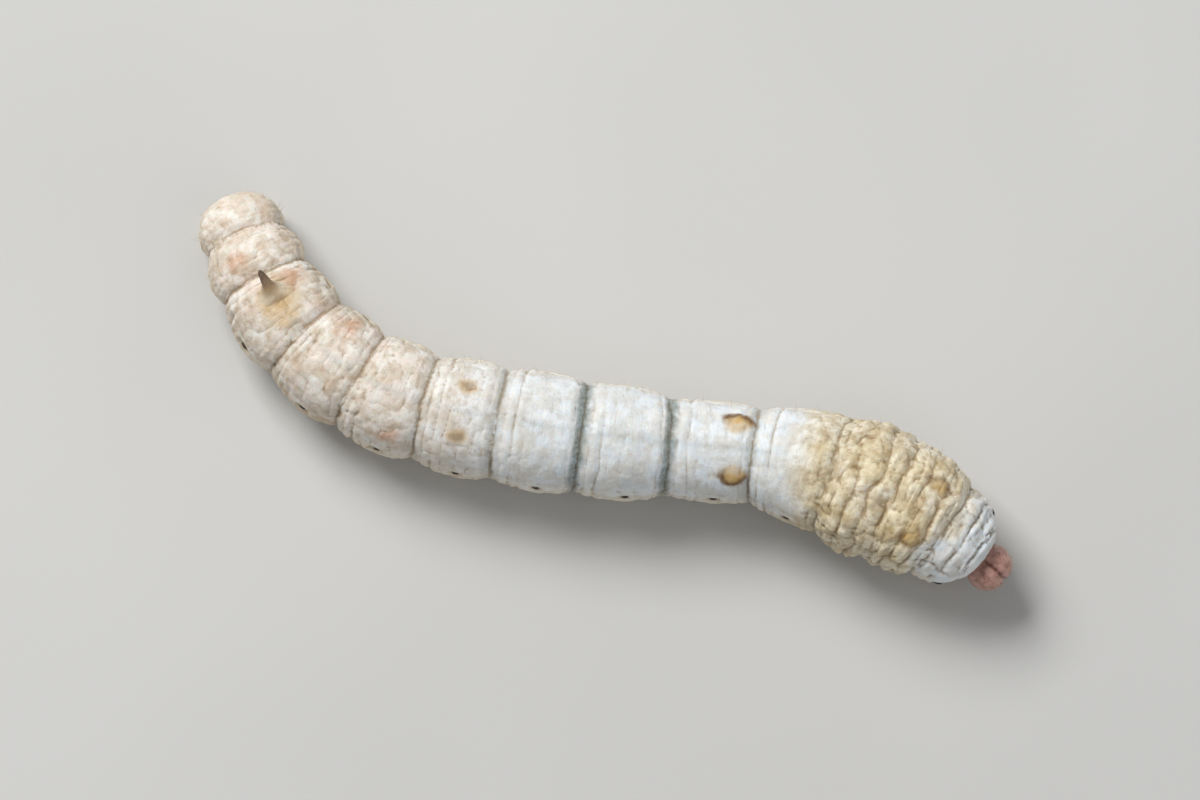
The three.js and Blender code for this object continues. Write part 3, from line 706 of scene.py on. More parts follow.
def paint_masks(unbent, around, out, places):
    """Where each colour of the skin lies, from 0 to 1, by name."""
    s = unbent[:, 0]
    _, share = ring_share(s)
    side = np.abs(around)
    radius = (width_at(s) + back_at(s) - belly_at(s)) / 4
    v = np.radians(side) * radius
    jitter = 0.18 * lattice_noise(places, 0.8, 51) + 0.1 * lattice_noise(places, 0.35, 52)

    def mark(ring, place, from_middle, long, wide):
        return np.hypot((s - on_ring(ring, place)) / long, (v - from_middle) / wide)

    band = np.zeros(len(s))
    for number, strength in STRETCH.items():
        x = np.abs(s - STARTS[number] + jitter * 0.8)
        band += strength * (1 - smoothstep(x, 0.2, 0.75)) * (1 - 0.4 * smoothstep(side, 60, 110))
    ragged = 1.1 * lattice_noise(places, 1.6, 53)
    thorax = smoothstep(s + ragged, STARTS[1] - 0.6, STARTS[1] + 1.6)
    thorax *= 1 - smoothstep(s + ragged, STARTS[3] - 0.4, STARTS[3] + 4.6)
    low = smoothstep(side, 62, 100)
    rear = smoothstep(s + ragged, STARTS[6] + 1, STARTS[9] + 2)
    vessel = bell(unbent[:, 1], 0.3) * (unbent[:, 2] > 0) * smoothstep(s, STARTS[3], STARTS[4])
    vessel *= 1 - smoothstep(s, STARTS[10], STARTS[11])
    # Half moons on the second ring of the abdomen: brown on the outer side, ochre inside.
    rho = mark(*HALF_MOON) + jitter * 0.7
    outer = smoothstep(v - HALF_MOON[2] + jitter, -0.45, 0.3)
    brown = bell(rho - 0.8, 0.26) * outer
    ochre = (1 - smoothstep(rho, 0.6, 1.15)) * (0.55 + 0.45 * outer)
    # Fainter star spots on the fifth ring, and eye marks on the second ring of the thorax.
    star = mark(*STAR_SPOT) + jitter
    brown = np.maximum(brown, 0.5 * (1 - smoothstep(star, 0.4, 1.1)))
    ochre = np.maximum(ochre, 0.5 * (1 - smoothstep(star, 0.8, 1.6)))
    eye = mark(*EYE_MARK) + jitter
    brown = np.maximum(brown, 0.6 * bell(eye - 0.85, 0.3) * smoothstep(v - 2.3, -0.6, 0.3))
    ochre = np.maximum(ochre, 0.65 * (1 - smoothstep(eye, 0.5, 1.4)))
    # Ochre in front of the horn, which darkens to its tip.
    ahead, long, wide = HORN_PATCH
    near_horn = np.hypot((s - on_ring("abdomen_8", HORN["share"]) + ahead) / long, v / wide) + jitter
    ochre = np.maximum(ochre, 0.6 * (1 - smoothstep(near_horn, 0.3, 1.2)))
    tip = np.linalg.norm(places - horn_line()[0][-1], axis=1)
    on_horn = (out > 0.25) & (places[:, 2] > HORN_LEVEL)
    brown = np.maximum(brown, 0.9 * on_horn * (1 - smoothstep(tip, 0.9, 2.8)))
    rust = np.zeros(len(s))
    for name, place, degrees, size in BLOTCHES:
        away = np.hypot(s - on_ring(name, place), np.radians(around + degrees) * radius) / size
        rust = np.maximum(rust, 0.6 * (1 - smoothstep(away + jitter * 1.4, 0.2, 1.3)))
    # Brownish pads of the limbs.
    limb = (1 - bell(np.clip(out, 0, None), 0.5)) * (places[:, 2] < LIMB_TOP)
    ochre = np.maximum(ochre, limb * 0.5 * (1 - smoothstep(places[:, 2], 0.15, 1.0)))
    return {
        "band": np.clip(band, 0, 1),
        "cream": np.clip(thorax + 0.5 * low + 0.25 * rear, 0, 1),
        "pink": np.clip(rear * 0.7 + 0.25 * low * (1 - thorax), 0, 1),
        "cool": np.clip(1 - thorax - 0.6 * rear, 0, 1) * (1 - low),
        "mottle": np.clip(0.25 + 1.1 * thorax + 0.55 * rear, 0, 1.3),
        "vessel": 0.2 * vessel * (0.6 + 0.4 * np.sin(math.pi * share)),
        "dark": on_horn * (1 - smoothstep(tip, 0.2, 1.2)) * 0.7,
        "rust": rust,
        "ochre": np.clip(ochre, 0, 1),
        "brown": np.clip(brown, 0, 1),
    }


# Materials
class Nodes:
    """Short calls for making a material's nodes."""

    def __init__(self, name):
        self.material = bpy.data.materials.new(name)
        self.material.use_nodes = True
        self.tree = self.material.node_tree
        self.shader = self.tree.nodes["Principled BSDF"]
        coordinates = self.tree.nodes.new("ShaderNodeTexCoord")
        self.place = self.scaled(coordinates.outputs["Object"], (MM, MM, MM))

    def feed(self, socket, value):
        if isinstance(value, (int, float, tuple)):
            socket.default_value = value
        else:
            self.tree.links.new(value, socket)

    def scaled(self, vector, sizes):
        mapping = self.tree.nodes.new("ShaderNodeMapping")
        mapping.inputs["Scale"].default_value = tuple(1 / size for size in sizes)
        self.feed(mapping.inputs["Vector"], vector)
        return mapping.outputs["Vector"]

    def attribute(self, name, output="Fac"):
        node = self.tree.nodes.new("ShaderNodeAttribute")
        node.attribute_name = name
        return node.outputs[output]

    def noise(self, size, detail=3.0, roughness=0.55, distortion=0.0, place=None):
        node = self.tree.nodes.new("ShaderNodeTexNoise")
        names = ("Vector", "Scale", "Detail", "Roughness", "Distortion")
        for name, value in zip(names, (place or self.place, 1 / size, detail, roughness, distortion)):
            self.feed(node.inputs[name], value)
        return node.outputs["Fac"]

    def cells(self, size):
        node = self.tree.nodes.new("ShaderNodeTexVoronoi")
        self.feed(node.inputs["Scale"], 1 / size)
        self.feed(node.inputs["Vector"], self.place)
        return node.outputs["Distance"]

    def ramp(self, value, low, high, to_low=0.0, to_high=1.0):
        node = self.tree.nodes.new("ShaderNodeMapRange")
        node.interpolation_type = "SMOOTHSTEP"
        names = ("Value", "From Min", "From Max", "To Min", "To Max")
        for name, number in zip(names, (value, low, high, to_low, to_high)):
            self.feed(node.inputs[name], number)
        return node.outputs["Result"]

    def times(self, a, b):
        node = self.tree.nodes.new("ShaderNodeMath")
        node.operation = "MULTIPLY"
        self.feed(node.inputs[0], a)
        self.feed(node.inputs[1], b)
        return node.outputs["Value"]

    def mix(self, factor, a, b, blend="MIX"):
        node = self.tree.nodes.new("ShaderNodeMix")
        node.data_type = "RGBA"
        node.blend_type = blend
        colours = [socket for socket in node.inputs if socket.type == "RGBA"]
        for socket, value in zip((node.inputs["Factor"], *colours), (factor, a, b)):
            self.feed(socket, value)
        return next(socket for socket in node.outputs if socket.type == "RGBA")

    def bump(self, heights):
        """Bumps from (height, depth in millimetres) pairs."""
        normal = None
        for height, depth in heights:
            node = self.tree.nodes.new("ShaderNodeBump")
            self.feed(node.inputs["Distance"], depth * MM)
            self.feed(node.inputs["Height"], height)
            if normal is not None:
                self.feed(node.inputs["Normal"], normal)
            normal = node.outputs["Normal"]
        self.feed(self.shader.inputs["Normal"], normal)

    def set(self, **values):
        for name, value in values.items():
            self.feed(self.shader.inputs[name.replace("_", " ")], value)


def skin_material():
    nodes = Nodes("silkworm_skin")
    broad = nodes.noise(3.2, 3)
    middle = nodes.noise(1.1, 4, 0.6, 0.4)
    fine = nodes.noise(0.3, 3, 0.6)
    straight = nodes.scaled(nodes.attribute("unbent", "Vector"), (0.16, 0.8, 0.8))
    pleats = nodes.noise(1.0, 3, 0.6, 0.3, straight)
    colour = nodes.mix(nodes.ramp(broad, 0.35, 0.65, 0.0, 0.35), WAX_WHITE, COOL_WHITE)

    def paint(colour, paints):
        """Lay on each paint where its mask and its texture allow: mask, texture, its ramp, and colour."""
        for mask, texture, ramp, paint_colour in paints:
            cover = nodes.times(nodes.attribute(mask), nodes.ramp(texture, *ramp))
            colour = nodes.mix(cover, colour, paint_colour)
        return colour

    ground = [
        ("cool", middle, (0.3, 0.7, 0.35, 0.9), COOL_WHITE),
        ("pink", middle, (0.35, 0.65, 0.15, 1.0), PINKISH),
        ("cream", broad, (0.3, 0.65, 0.5, 1.0), CREAM),
        ("rust", middle, (0.3, 0.6, 0.4, 1.0), RUSTY),
        ("band", fine, (0.25, 0.7, 0.65, 0.95), MEMBRANE),
    ]
    colour = nodes.mix(nodes.attribute("vessel"), paint(colour, ground), MEMBRANE)
    patches = nodes.ramp(nodes.noise(1.5, 4, 0.65, 0.2), 0.38, 0.62, 0.0, 0.55)
    mottle = nodes.attribute("mottle")
    colour = nodes.mix(patches, colour, srgb(238, 230, 220), "MULTIPLY")
    colour = nodes.mix(nodes.times(patches, mottle), colour, srgb(216, 206, 182), "MULTIPLY")
    flecks = [
        ("mottle", nodes.noise(0.75, 4, 0.65, 0.1), (0.54, 0.7, 0.0, 0.42), srgb(158, 126, 92)),
        ("mottle", nodes.noise(0.2, 1, 0.5), (0.66, 0.76, 0.0, 0.45), srgb(120, 96, 76)),
        ("ochre", middle, (0.25, 0.6, 0.65, 1.0), OCHRE),
        ("brown", fine, (0.2, 0.6, 0.7, 1.0), BROWN),
    ]
    colour = nodes.mix(nodes.attribute("dark"), paint(colour, flecks), DARK_BROWN)
    # Painted shade: the skin's colour is darkened in its creases, the more the deeper they are.
    hollow = nodes.ramp(nodes.attribute("hollow"), 0.0, 1.0, 0.0, 0.75)
    colour = nodes.mix(hollow, colour, srgb(186, 164, 134), "MULTIPLY")
    nodes.bump([(middle, 0.05), (pleats, 0.05), (fine, 0.02), (nodes.cells(0.14), 0.012)])
    nodes.set(Base_Color=colour, Roughness=nodes.ramp(fine, 0.3, 0.7, 0.42, 0.58), Specular_IOR_Level=0.4)
    nodes.set(Subsurface_Weight=0.3, Subsurface_Scale=0.0008, Subsurface_Radius=(1.0, 0.72, 0.5))
    return nodes.material


def shell_material(name, colour, dark, roughness):
    """Horny shell, mottled between two colours and pitted. Its meshes may hold the masks dark and soft."""
    nodes = Nodes(name)
    middle = nodes.noise(0.7, 4, 0.6, 0.3)
    fine = nodes.noise(0.12, 2, 0.5)
    mixed = nodes.mix(nodes.ramp(middle, 0.35, 0.7, 0.0, 0.5), colour, dark)
    mixed = nodes.mix(nodes.attribute("dark"), mixed, dark)
    mixed = nodes.mix(nodes.attribute("soft"), mixed, SOFT_JOINT)
    nodes.bump([(middle, 0.02), (nodes.cells(0.1), 0.012)])
    nodes.set(Base_Color=mixed, Roughness=nodes.ramp(fine, 0.3, 0.7, roughness - 0.05, roughness + 0.08))
    nodes.set(Subsurface_Weight=0.12, Subsurface_Scale=0.0004)
    return nodes.material


def plain_material(name, colour, roughness):
    """One colour with darker patches."""
    nodes = Nodes(name)
    darker = tuple(c * 0.6 for c in colour[:3]) + (1.0,)
    patches = nodes.ramp(nodes.noise(0.25, 2), 0.3, 0.7, 0.0, 0.35)
    nodes.set(Base_Color=nodes.mix(patches, colour, darker), Roughness=roughness)
    return nodes.material


def set_masks(piece, **masks):
    for name, values in masks.items():
        layer = piece.data.attributes.new(name, "FLOAT", "POINT")
        layer.data.foreach_set("value", np.asarray(values, np.float32))


HEAD_SHELL = shell_material("head_shell", srgb(206, 160, 146), srgb(124, 78, 64), 0.34)
LEG_SHELL = shell_material("leg_shell", srgb(202, 158, 104), srgb(122, 76, 42), 0.36)
JAW_SHELL = shell_material("jaw_shell", srgb(86, 44, 26), srgb(34, 18, 12), 0.3)
LIP_SHELL = shell_material("lip_shell", srgb(204, 168, 130), srgb(138, 92, 62), 0.4)
HOOKS = plain_material("hooks", srgb(92, 52, 26), 0.35)
EYE_BLACK = plain_material("eye_black", srgb(16, 13, 12), 0.12)
SPIRACLE_RIM = plain_material("spiracle_rim", srgb(28, 22, 20), 0.4)
SPIRACLE_FILTER = plain_material("spiracle_filter", srgb(118, 84, 56), 0.7)
HAIR = plain_material("hair", srgb(196, 170, 132), 0.5)

# Depth of a crease at which its painted shade is full.
HOLLOW_DEPTH = 0.07


def hollows(places, quads):
    """How deep each point lies in a crease, from 0 to 1, which sets how much painted shade darkens the skin's
    colour there.
    """
    pairs = np.concatenate([quads[:, (0, 1)], quads[:, (1, 2)], quads[:, (2, 3)], quads[:, (3, 0)]])
    smooth = eased(places, pairs, np.full(len(places), 0.6), 12)
    depth = ((smooth - places) * vertex_normals(places, quads)).sum(1)
    return np.clip(depth / HOLLOW_DEPTH, 0, 1)


def skin_piece():
    places, quads, unbent, around, out = build_skin()
    mesh = bpy.data.meshes.new("skin")
    mesh.vertices.add(len(places))
    mesh.vertices.foreach_set("co", (places * MM).ravel())
    mesh.loops.add(len(quads) * 4)
    mesh.loops.foreach_set("vertex_index", quads.ravel())
    mesh.polygons.add(len(quads))
    mesh.polygons.foreach_set("loop_start", np.arange(len(quads)) * 4)
    mesh.update(calc_edges=True)
    mesh.polygons.foreach_set("use_smooth", [True] * len(quads))
    mesh.materials.append(skin_material())
    piece = link(bpy.data.objects.new("skin", mesh))
    set_masks(piece, hollow=hollows(places, quads), **paint_masks(unbent, around, out, places))
    layer = mesh.attributes.new("unbent", "FLOAT_VECTOR", "POINT")
    layer.data.foreach_set("vector", unbent.astype(np.float32).ravel())
    return piece, BVHTree.FromPolygons(places.tolist(), quads.tolist())


skin, skin_tree = skin_piece()
prolegs = [f"proleg_{side}_{number}" for side in SIDES for number in PROLEG_RINGS]
fit(skin, "skin", *NAMES, "caudal_horn", "clasper_left", "clasper_right", *prolegs)

# Head: made in its own frame, +X where the face looks, +Y the animal's left, +Z the crown.
HEAD = {"depth": 3.4, "width": 3.9, "height": 3.9, "pitch": 16, "z": 4.35, "behind": 1.65}
SEAM = {"depth": 0.15, "wide": 0.035, "wider": 0.02, "fork": 0.3, "slope": 0.5}
PLATE_DEPTH = 0.09
# Six simple eyes on each side, five in a curve and one apart, in degrees on the head.
EYE = {"radius": 0.17, "sunk": 0.09, "azimuth": 58, "height": -22, "spread": 14}
EYE_TURNS = (-75, -25, 20, 65, 110, 160)
# The upper lip, and the strip over it as shares and shifts of the lip.
LIP = {"width": 1.4, "tall": 0.7, "thick": 0.5, "x": 1.02, "z": -1.45, "notch": 0.3, "inset": 0.14}
LIP_LAYERS = [(1.0, 1.0, 0.0, 0.0, LIP["notch"]), (1.12, 0.42, -0.16, 0.4, 0.0)]
JAW = {"length": 1.2, "width": 0.8, "thick": 0.66, "x": 0.9, "z": -2.2, "y": 0.56, "tilt": -18}
TEETH = {"rate": 4.5, "edge": 0.36, "height": 0.09, "flatten": 0.25}
# A feeler as (reach, radius), then the bristle and the stub at its tip.
FEELER = [
    (-0.4, 0.3),
    (0.0, 0.31),
    (0.12, 0.29),
    (0.3, 0.26),
    (0.36, 0.2),
    (0.4, 0.21),
    (0.66, 0.19),
    (0.7, 0.13),
    (0.74, 0.14),
    (0.96, 0.12),
    (1.0, 0.06),
]
FEELER_AIM = (0.8, 0.5, -0.55)
FEELER_ROOT = (44, -44)
# The lower lip, its spinneret and its palps as (forward, out, up, radius).
LOWER_LIP = [
    (-0.35, 0, -1.4, 0.6),
    (-0.3, 0, -1.8, 0.66),
    (-0.25, 0, -2.05, 0.62),
    (-0.16, 0, -2.22, 0.5),
    (-0.1, 0, -2.32, 0.38),
    (-0.06, 0, -2.4, 0.2),
]
NOZZLE = [(-0.07, 0, -2.3, 0.22), (-0.02, 0, -2.5, 0.17), (0.05, 0, -2.7, 0.13), (0.1, 0, -2.84, 0.08)]
PALP = [(0.0, 0.5, -1.95, 0.3), (0.04, 0.55, -2.2, 0.26), (0.1, 0.56, -2.42, 0.17), (0.16, 0.55, -2.58, 0.08)]


def head_matrix():
    at, forward, _, _ = frames_at(np.array([HEAD["behind"]]))
    turn = math.atan2(forward[0][1], forward[0][0])
    place = Matrix.Translation((at[0][0], at[0][1], HEAD["z"]))
    pitch = Matrix.Rotation(math.radians(HEAD["pitch"]), 4, "Y")
    return np.array(place @ Matrix.Rotation(turn, 4, "Z") @ pitch)


HEAD_PLACE = head_matrix()


def in_world(points):
    return np.asarray(points) @ HEAD_PLACE[:3, :3].T + HEAD_PLACE[:3, 3]


def head_lines(direction):
    """The seam over the crown, forked round the forehead plate: its depth share, and the plate itself."""
    x, y, z = direction.T
    crown = z > SEAM["fork"]
    fork = np.clip((SEAM["fork"] - z) * SEAM["slope"], 0, None)
    line = np.where(crown, np.abs(y), np.abs(np.abs(y) - fork))
    seam = bell(line, SEAM["wide"] + SEAM["wider"] * crown)
    seam *= smoothstep(z, -0.85, -0.6) * smoothstep(x + z, -0.1, 0.25)
    plate = smoothstep(fork - np.abs(y), 0, 0.12) * smoothstep(x, -0.2, 0.3) * (z < SEAM["fork"])
    return seam, plate


def head_surface(direction):
    """A point of the head's shell in its own frame, for unit directions."""
    x, y, z = direction.T
    to_mouth = smoothstep(-z, -0.1, 1)
    crown = smoothstep(z + x, 0.1, 1.1)
    scale = (1 - 0.1 * crown * bell(y, 0.16)) * (1 + 0.05 * crown * bell(np.abs(y) - 0.5, 0.3))
    deep = x * HEAD["depth"] * scale * (1 - 0.1 * to_mouth)
    wide = y * HEAD["width"] * scale * (1 - 0.24 * to_mouth)
    shape = np.stack([deep, wide, z * HEAD["height"] * scale], 1) / 2
    seam, plate = head_lines(direction)
    grain = 0.014 * lattice_noise(direction * 9, 1.0, 61) + 0.03 * lattice_noise(direction * 3, 1.0, 62)
    cheek = 0.05 * bell(np.abs(y) - 0.75, 0.25) * bell(z + 0.35, 0.3)
    return shape * (1 + (grain + cheek - SEAM["depth"] * seam - PLATE_DEPTH * plate)[:, None] / 1.9)


def direction_at(azimuth, height):
    a, h = math.radians(azimuth), math.radians(height)
    return np.array([[math.cos(h) * math.cos(a), math.cos(h) * math.sin(a), math.sin(h)]])


def head_piece():
    subdivisions = 6
    directions, faces = ball(bmesh.ops.create_icosphere, subdivisions=subdivisions, radius=1)
    piece = new_object("head_capsule", in_world(head_surface(directions)), faces, HEAD_SHELL)
    seam, plate = head_lines(directions)
    freckles = smoothstep(lattice_noise(directions * 6, 1.0, 63) + 0.25 * directions[:, 2], 0.25, 0.6)
    set_masks(piece, dark=np.clip(0.75 * seam + 0.4 * freckles, 0, 1), soft=0.25 * plate)
    return piece


def eye_beads(side_name, side):
    beads = []
    points, faces = ball(bmesh.ops.create_uvsphere, u_segments=20, v_segments=12, radius=EYE["radius"])
    for turn in np.radians(EYE_TURNS):
        azimuth = side * (EYE["azimuth"] + EYE["spread"] * math.cos(turn))
        direction = direction_at(azimuth, EYE["height"] + EYE["spread"] * math.sin(turn))
        centre = head_surface(direction)[0] - direction[0] * EYE["sunk"]
        beads.append((points + centre, faces))
    points, faces = joined(beads)
    return new_object(f"eyes_{side_name}", in_world(points), faces, EYE_BLACK)


def lip_piece():
    """The notched upper lip, domed and rounded at its rim, under a narrow strip."""
    pieces = []
    turn = np.linspace(0, 2 * math.pi, 24, endpoint=False)
    c, n = np.cos(turn), np.sin(turn)
    for width, tall, x_shift, z_shift, notch in LIP_LAYERS:
        rings = []
        for u in np.linspace(-1, 1, 41):
            end = math.sqrt(max(0.03, 1 - abs(u) ** 4))
            low = -LIP["tall"] / 2 * end * tall + notch * float(bell(u, 0.16))
            high = LIP["tall"] / 2 * tall * (0.6 + 0.4 * end)
            z = LIP["z"] + z_shift + np.where(c > 0, high, -low) * np.sign(c) * np.abs(c) ** 0.7
            dome = 0.2 * (1 - u * u) + 0.06 * bell(abs(u) - 0.5, 0.2)
            x = LIP["x"] + x_shift + LIP["thick"] / 2 - LIP["inset"] + dome
            x = x + LIP["thick"] / 2 * end * np.sign(n) * np.abs(n) ** 0.8
            rings.append(np.stack([x, np.full(len(turn), u * LIP["width"] * width / 2), z], 1))
        pieces.append(loft(rings))
    points, faces = joined(pieces)
    piece = new_object("upper_lip", in_world(points), faces, LIP_SHELL)
    set_masks(piece, soft=smoothstep(points[:, 2], LIP["z"] + 0.25, LIP["z"] + 0.5) * 0.6)
    return piece


def jaw_piece(side_name, side):
    """A broad jaw, hollowed inside, with a toothed cutting edge."""
    points, faces = ball(bmesh.ops.create_uvsphere, u_segments=56, v_segments=40, radius=0.5)
    points = np.sign(points) * 0.5 * np.abs(points * 2) ** 0.8
    low = smoothstep(-points[:, 2], -0.1, 0.5)
    points[:, 0] *= 1 - 0.45 * low
    points[:, 1] *= 1 + 0.12 * low
    points[:, 0] += 0.16 * low
    teeth = np.abs(((points[:, 1] * TEETH["rate"]) % 1) - 0.5) * 2
    edge = -TEETH["edge"] - TEETH["height"] * (1 - teeth)
    worn = edge + TEETH["flatten"] * (points[:, 2] - edge)
    points[:, 2] = np.where(points[:, 2] < edge, worn, points[:, 2])
    points[:, 0] += 0.05 * bell(points[:, 2] + 0.1, 0.16) * (points[:, 0] > 0)
    points *= (JAW["thick"], JAW["width"], JAW["length"])
    tilt = math.radians(JAW["tilt"] * side)
    y = points[:, 1] * math.cos(tilt) - points[:, 2] * math.sin(tilt)
    z = points[:, 1] * math.sin(tilt) + points[:, 2] * math.cos(tilt)
    points = np.stack([points[:, 0] + JAW["x"], y + side * JAW["y"], z + JAW["z"]], 1)
    piece = new_object(f"jaw_{side_name}", in_world(points), faces, JAW_SHELL)
    set_masks(piece, dark=smoothstep(-z, 0.1, 0.5))
    return piece


def feeler_piece(side_name, side):
    azimuth, height = FEELER_ROOT
    root = head_surface(direction_at(side * azimuth, height))[0]
    aim = unit(np.array(FEELER_AIM) * (1, side, 1))
    stalk = tube([root + aim * reach for reach, _ in FEELER], [radius for _, radius in FEELER], 24)
    bristle = tube([root + aim * 0.95, root + aim * 1.3 + (0, 0, -0.06)], [0.02, 0.008], 6)
    stub_ends = [root + aim * 0.95 + (0, side * 0.07, 0), root + aim * 1.1 + (0, side * 0.1, 0)]
    points, faces = joined([stalk, bristle, tube(stub_ends, [0.04, 0.02], 6)])
    return new_object(f"feeler_{side_name}", in_world(points), faces, LEG_SHELL)


def marked_tube(marks, sides, side=1):
    return tube([(x, side * y, z) for x, y, z, _ in marks], [mark[3] for mark in marks], sides)


def lower_lip_piece():
    """The lower lip with its spinneret, and a palp on each side."""
    palps = [marked_tube(PALP, 18, side) for side in SIDES.values()]
    points, faces = joined([marked_tube(LOWER_LIP, 28), marked_tube(NOZZLE, 18), *palps])
    return new_object("lower_lip", in_world(points), faces, LIP_SHELL)


fit(head_piece(), "head_shell", "head")
fit(lip_piece(), "jaw_shell")
fit(lower_lip_piece(), "jaw_shell", "spinneret")
for side_name, side in SIDES.items():
    fit(eye_beads(side_name, side), "jaw_shell")
    fit(jaw_piece(side_name, side), "jaw_shell", f"mandible_{side_name}")
    fit(feeler_piece(side_name, side), "leg_shell", f"antenna_{side_name}")

# Walking legs: heights and spreads of the pale skin between the joints, and a claw as (up, out, ahead,
# radius).
LEG_JOINTS = [(1.84, 0.11), (1.03, 0.09)]
CLAW = [(0.5, 1.88, 0.46, 0.17), (0.3, 1.83, 0.53, 0.15), (0.16, 1.78, 0.58, 0.11)]
CLAW += [(0.06, 1.73, 0.61, 0.06), (0.03, 1.66, 0.62, 0.02)]


def leg_pieces(number, side_name, side):
    s = on_ring(THORAX[number - 1], LEG_SHARE)
    points, faces = limb(s, side, LEG, 36, 70)
    leg = new_object(f"walking_leg_{side_name}_{number}", points, faces, LEG_SHELL)
    z = points[:, 2]
    soft = sum(bell(z - height, spread) for height, spread in LEG_JOINTS) + smoothstep(z, 2.1, 2.5)
    dark = 0.6 * smoothstep(-z, -0.9, -0.35) + 0.35 * bell(z - 1.3, 0.14)
    set_masks(leg, soft=np.clip(soft, 0, 1) * 0.85, dark=dark)
    base, ahead, out = limb_frame(s, side)
    centres = [base + out * aside + ahead * lead + (0, 0, up) for up, aside, lead, _ in CLAW]
    points, faces = tube(centres, [mark[3] for mark in CLAW], 16)
    points[:, 2] = np.clip(points[:, 2], 0, None)
    fit(leg, "leg_shell", f"leg_{side_name}_{number}")
    fit(new_object(f"claw_{side_name}_{number}", points, faces, JAW_SHELL), "jaw_shell")


for side_name, side in SIDES.items():
    for number in (1, 2, 3):
        leg_pieces(number, side_name, side)

# Breathing holes: a black oval rim round a brown filter with a slit. Each is a bowl through rings, as
# shares of the hole's two half sizes and a height.
RIM = [(1.05, 1.05, -0.3), (1.14, 1.16, 0.0), (1.1, 1.12, 0.09), (1.0, 1.0, 0.13)]
RIM += [(0.88, 0.84, 0.12), (0.78, 0.72, 0.07), (0.74, 0.66, -0.08)]
FILTER = [(0.82, 0.8, -0.25), (0.82, 0.8, 0.06), (0.74, 0.55, 0.08), (0.66, 0.2, 0.05), (0.6, 0.06, -0.04)]


def on_skin(s, degrees):
    """The skin's surface in a direction from the midline, in degrees from the left over the back."""
    at, forward, left, up = (part[0] for part in frames_at(np.array([s])))
    reach_x, reach_y = skin_reach(np.array([s]), np.array([math.radians(degrees)]))
    ray = unit(left * reach_x[0] + up * reach_y[0])
    hit, normal, _, _ = skin_tree.ray_cast(Vector(at + ray * 9), Vector(-ray))
    return np.array(hit), np.array(normal), forward, up


def breathing_hole(name, side, marks):
    degrees = SPIRACLE["angle"] if side > 0 else 180 - SPIRACLE["angle"]
    centre, out, _, up = on_skin(on_ring(name, SPIRACLE["share"]), degrees)
    size = SPIRACLE["ends"] if name in (BREATHING[0], BREATHING[-1]) else 1
    across = unit(np.cross(up, out) * side)
    over = np.cross(out, across) * side * size * SPIRACLE["long"]
    across = across * size * SPIRACLE["narrow"]
    c, n = circle(32)
    rings = []
    for long, narrow, height in marks:
        rings.append(centre + over * long * c[:, None] + across * narrow * n[:, None] + out * height)
    return loft(rings)


for name, marks, material in (("rims", RIM, SPIRACLE_RIM), ("filters", FILTER, SPIRACLE_FILTER)):
    holes = [breathing_hole(ring, side, marks) for ring in BREATHING for side in SIDES.values()]
    fit(new_object(f"spiracle_{name}", *joined(holes), material), "jaw_shell")

# Hooks on the inner edge of each sole, in a curved row of two lengths: share of the reach, height, radius.
HOOK = [(0.0, 0.2, 0.035), (0.1, 0.14, 0.035), (0.9, 0.07, 0.026), (1.0, 0.02, 0.008)]
HOOK_REACHES = (0.17, 0.24)
HOOK_INSET = 0.93
HOOK_ROW = (95, 265)


def hooks(s, side, marks, count):
    base, ahead, out = limb_frame(s, side)
    _, across, along, shift, lead = marks[-2]
    centre = base + out * shift + ahead * lead
    pieces = []
    for i, turn in enumerate(np.radians(np.linspace(*HOOK_ROW, count))):
        c, n = math.cos(turn), math.sin(turn)
        root = centre + out * across * HOOK_INSET * c + ahead * along * HOOK_INSET * n
        reaches = [share * HOOK_REACHES[i % 2] for share, _, _ in HOOK]
        reaches[1] = HOOK[1][0]
        line = [root + (out * c + ahead * n) * reach + (0, 0, mark[1]) for reach, mark in zip(reaches, HOOK)]
        pieces.append(tube(line, [mark[2] for mark in HOOK], 6))
    return pieces


hook_pieces = []
for side in SIDES.values():
    for name, share, marks, _, count in SOFT_LIMBS:
        hook_pieces += hooks(on_ring(name, share), side, marks, count)
fit(new_object("sole_hooks", *joined(hook_pieces), HOOKS), "jaw_shell")

# Hairs: fine, sparse bristles, each a tapered, slightly bent spike of three sides.
ROOT_SUNK = 0.08
BRISTLE_LEAN = 0.45
BRISTLE_TAPER = 0.75
# Side of each bristle's patch on its map, and turn from point to point round the patch.
PATCH = 0.003
PATCH_TURN = 2.4
hair_rng = np.random.default_rng(11)
DOWN_COUNT = 1500
HEAD_HAIR_COUNT = 90
LIMB_HAIR_COUNT = 26
# Long bristles of each ring: share along it, degrees from the left side over the back, and length.
LONG_BRISTLES = [(0.3, 62, 0.5), (0.55, 42, 0.6), (0.35, 14, 0.7)]
LONG_BRISTLES += [(0.6, -8, 0.7), (0.4, -26, 0.8), (0.55, -34, 0.7)]
# Half widths of the long bristles, the down, and the hairs of head and limbs.
HAIR_RADIUS = {"long": 0.016, "down": 0.009, "head": 0.013, "limb": 0.012}


def bristle(root, out, lie, length, radius):
    """Points and faces of one bristle, with its root sunk in the skin."""
    out = unit(out)
    across = unit(np.cross(out, lie))
    over = np.cross(out, across)
    turn = np.radians((0, 120, 240))
    disc = (across * np.cos(turn)[:, None] + over * np.sin(turn)[:, None]) * radius
    lean = (np.asarray(lie) - out * np.dot(lie, out)) * length * BRISTLE_LEAN
    rings = [root - out * ROOT_SUNK + disc]
    for share in (0.45, 0.8):
        rings.append(root + out * length * share + lean * share**2 + disc * (1 - BRISTLE_TAPER * share))
    points = np.concatenate([*rings, [root + out * length + lean]])
    faces = [(2, 1, 0)]
    for base in (0, 3):
        for i in range(3):
            j = (i + 1) % 3
            faces.append((base + i, base + j, base + j + 3, base + i + 3))
    faces += [(6 + i, 6 + (i + 1) % 3, 9) for i in range(3)]
    return points, faces


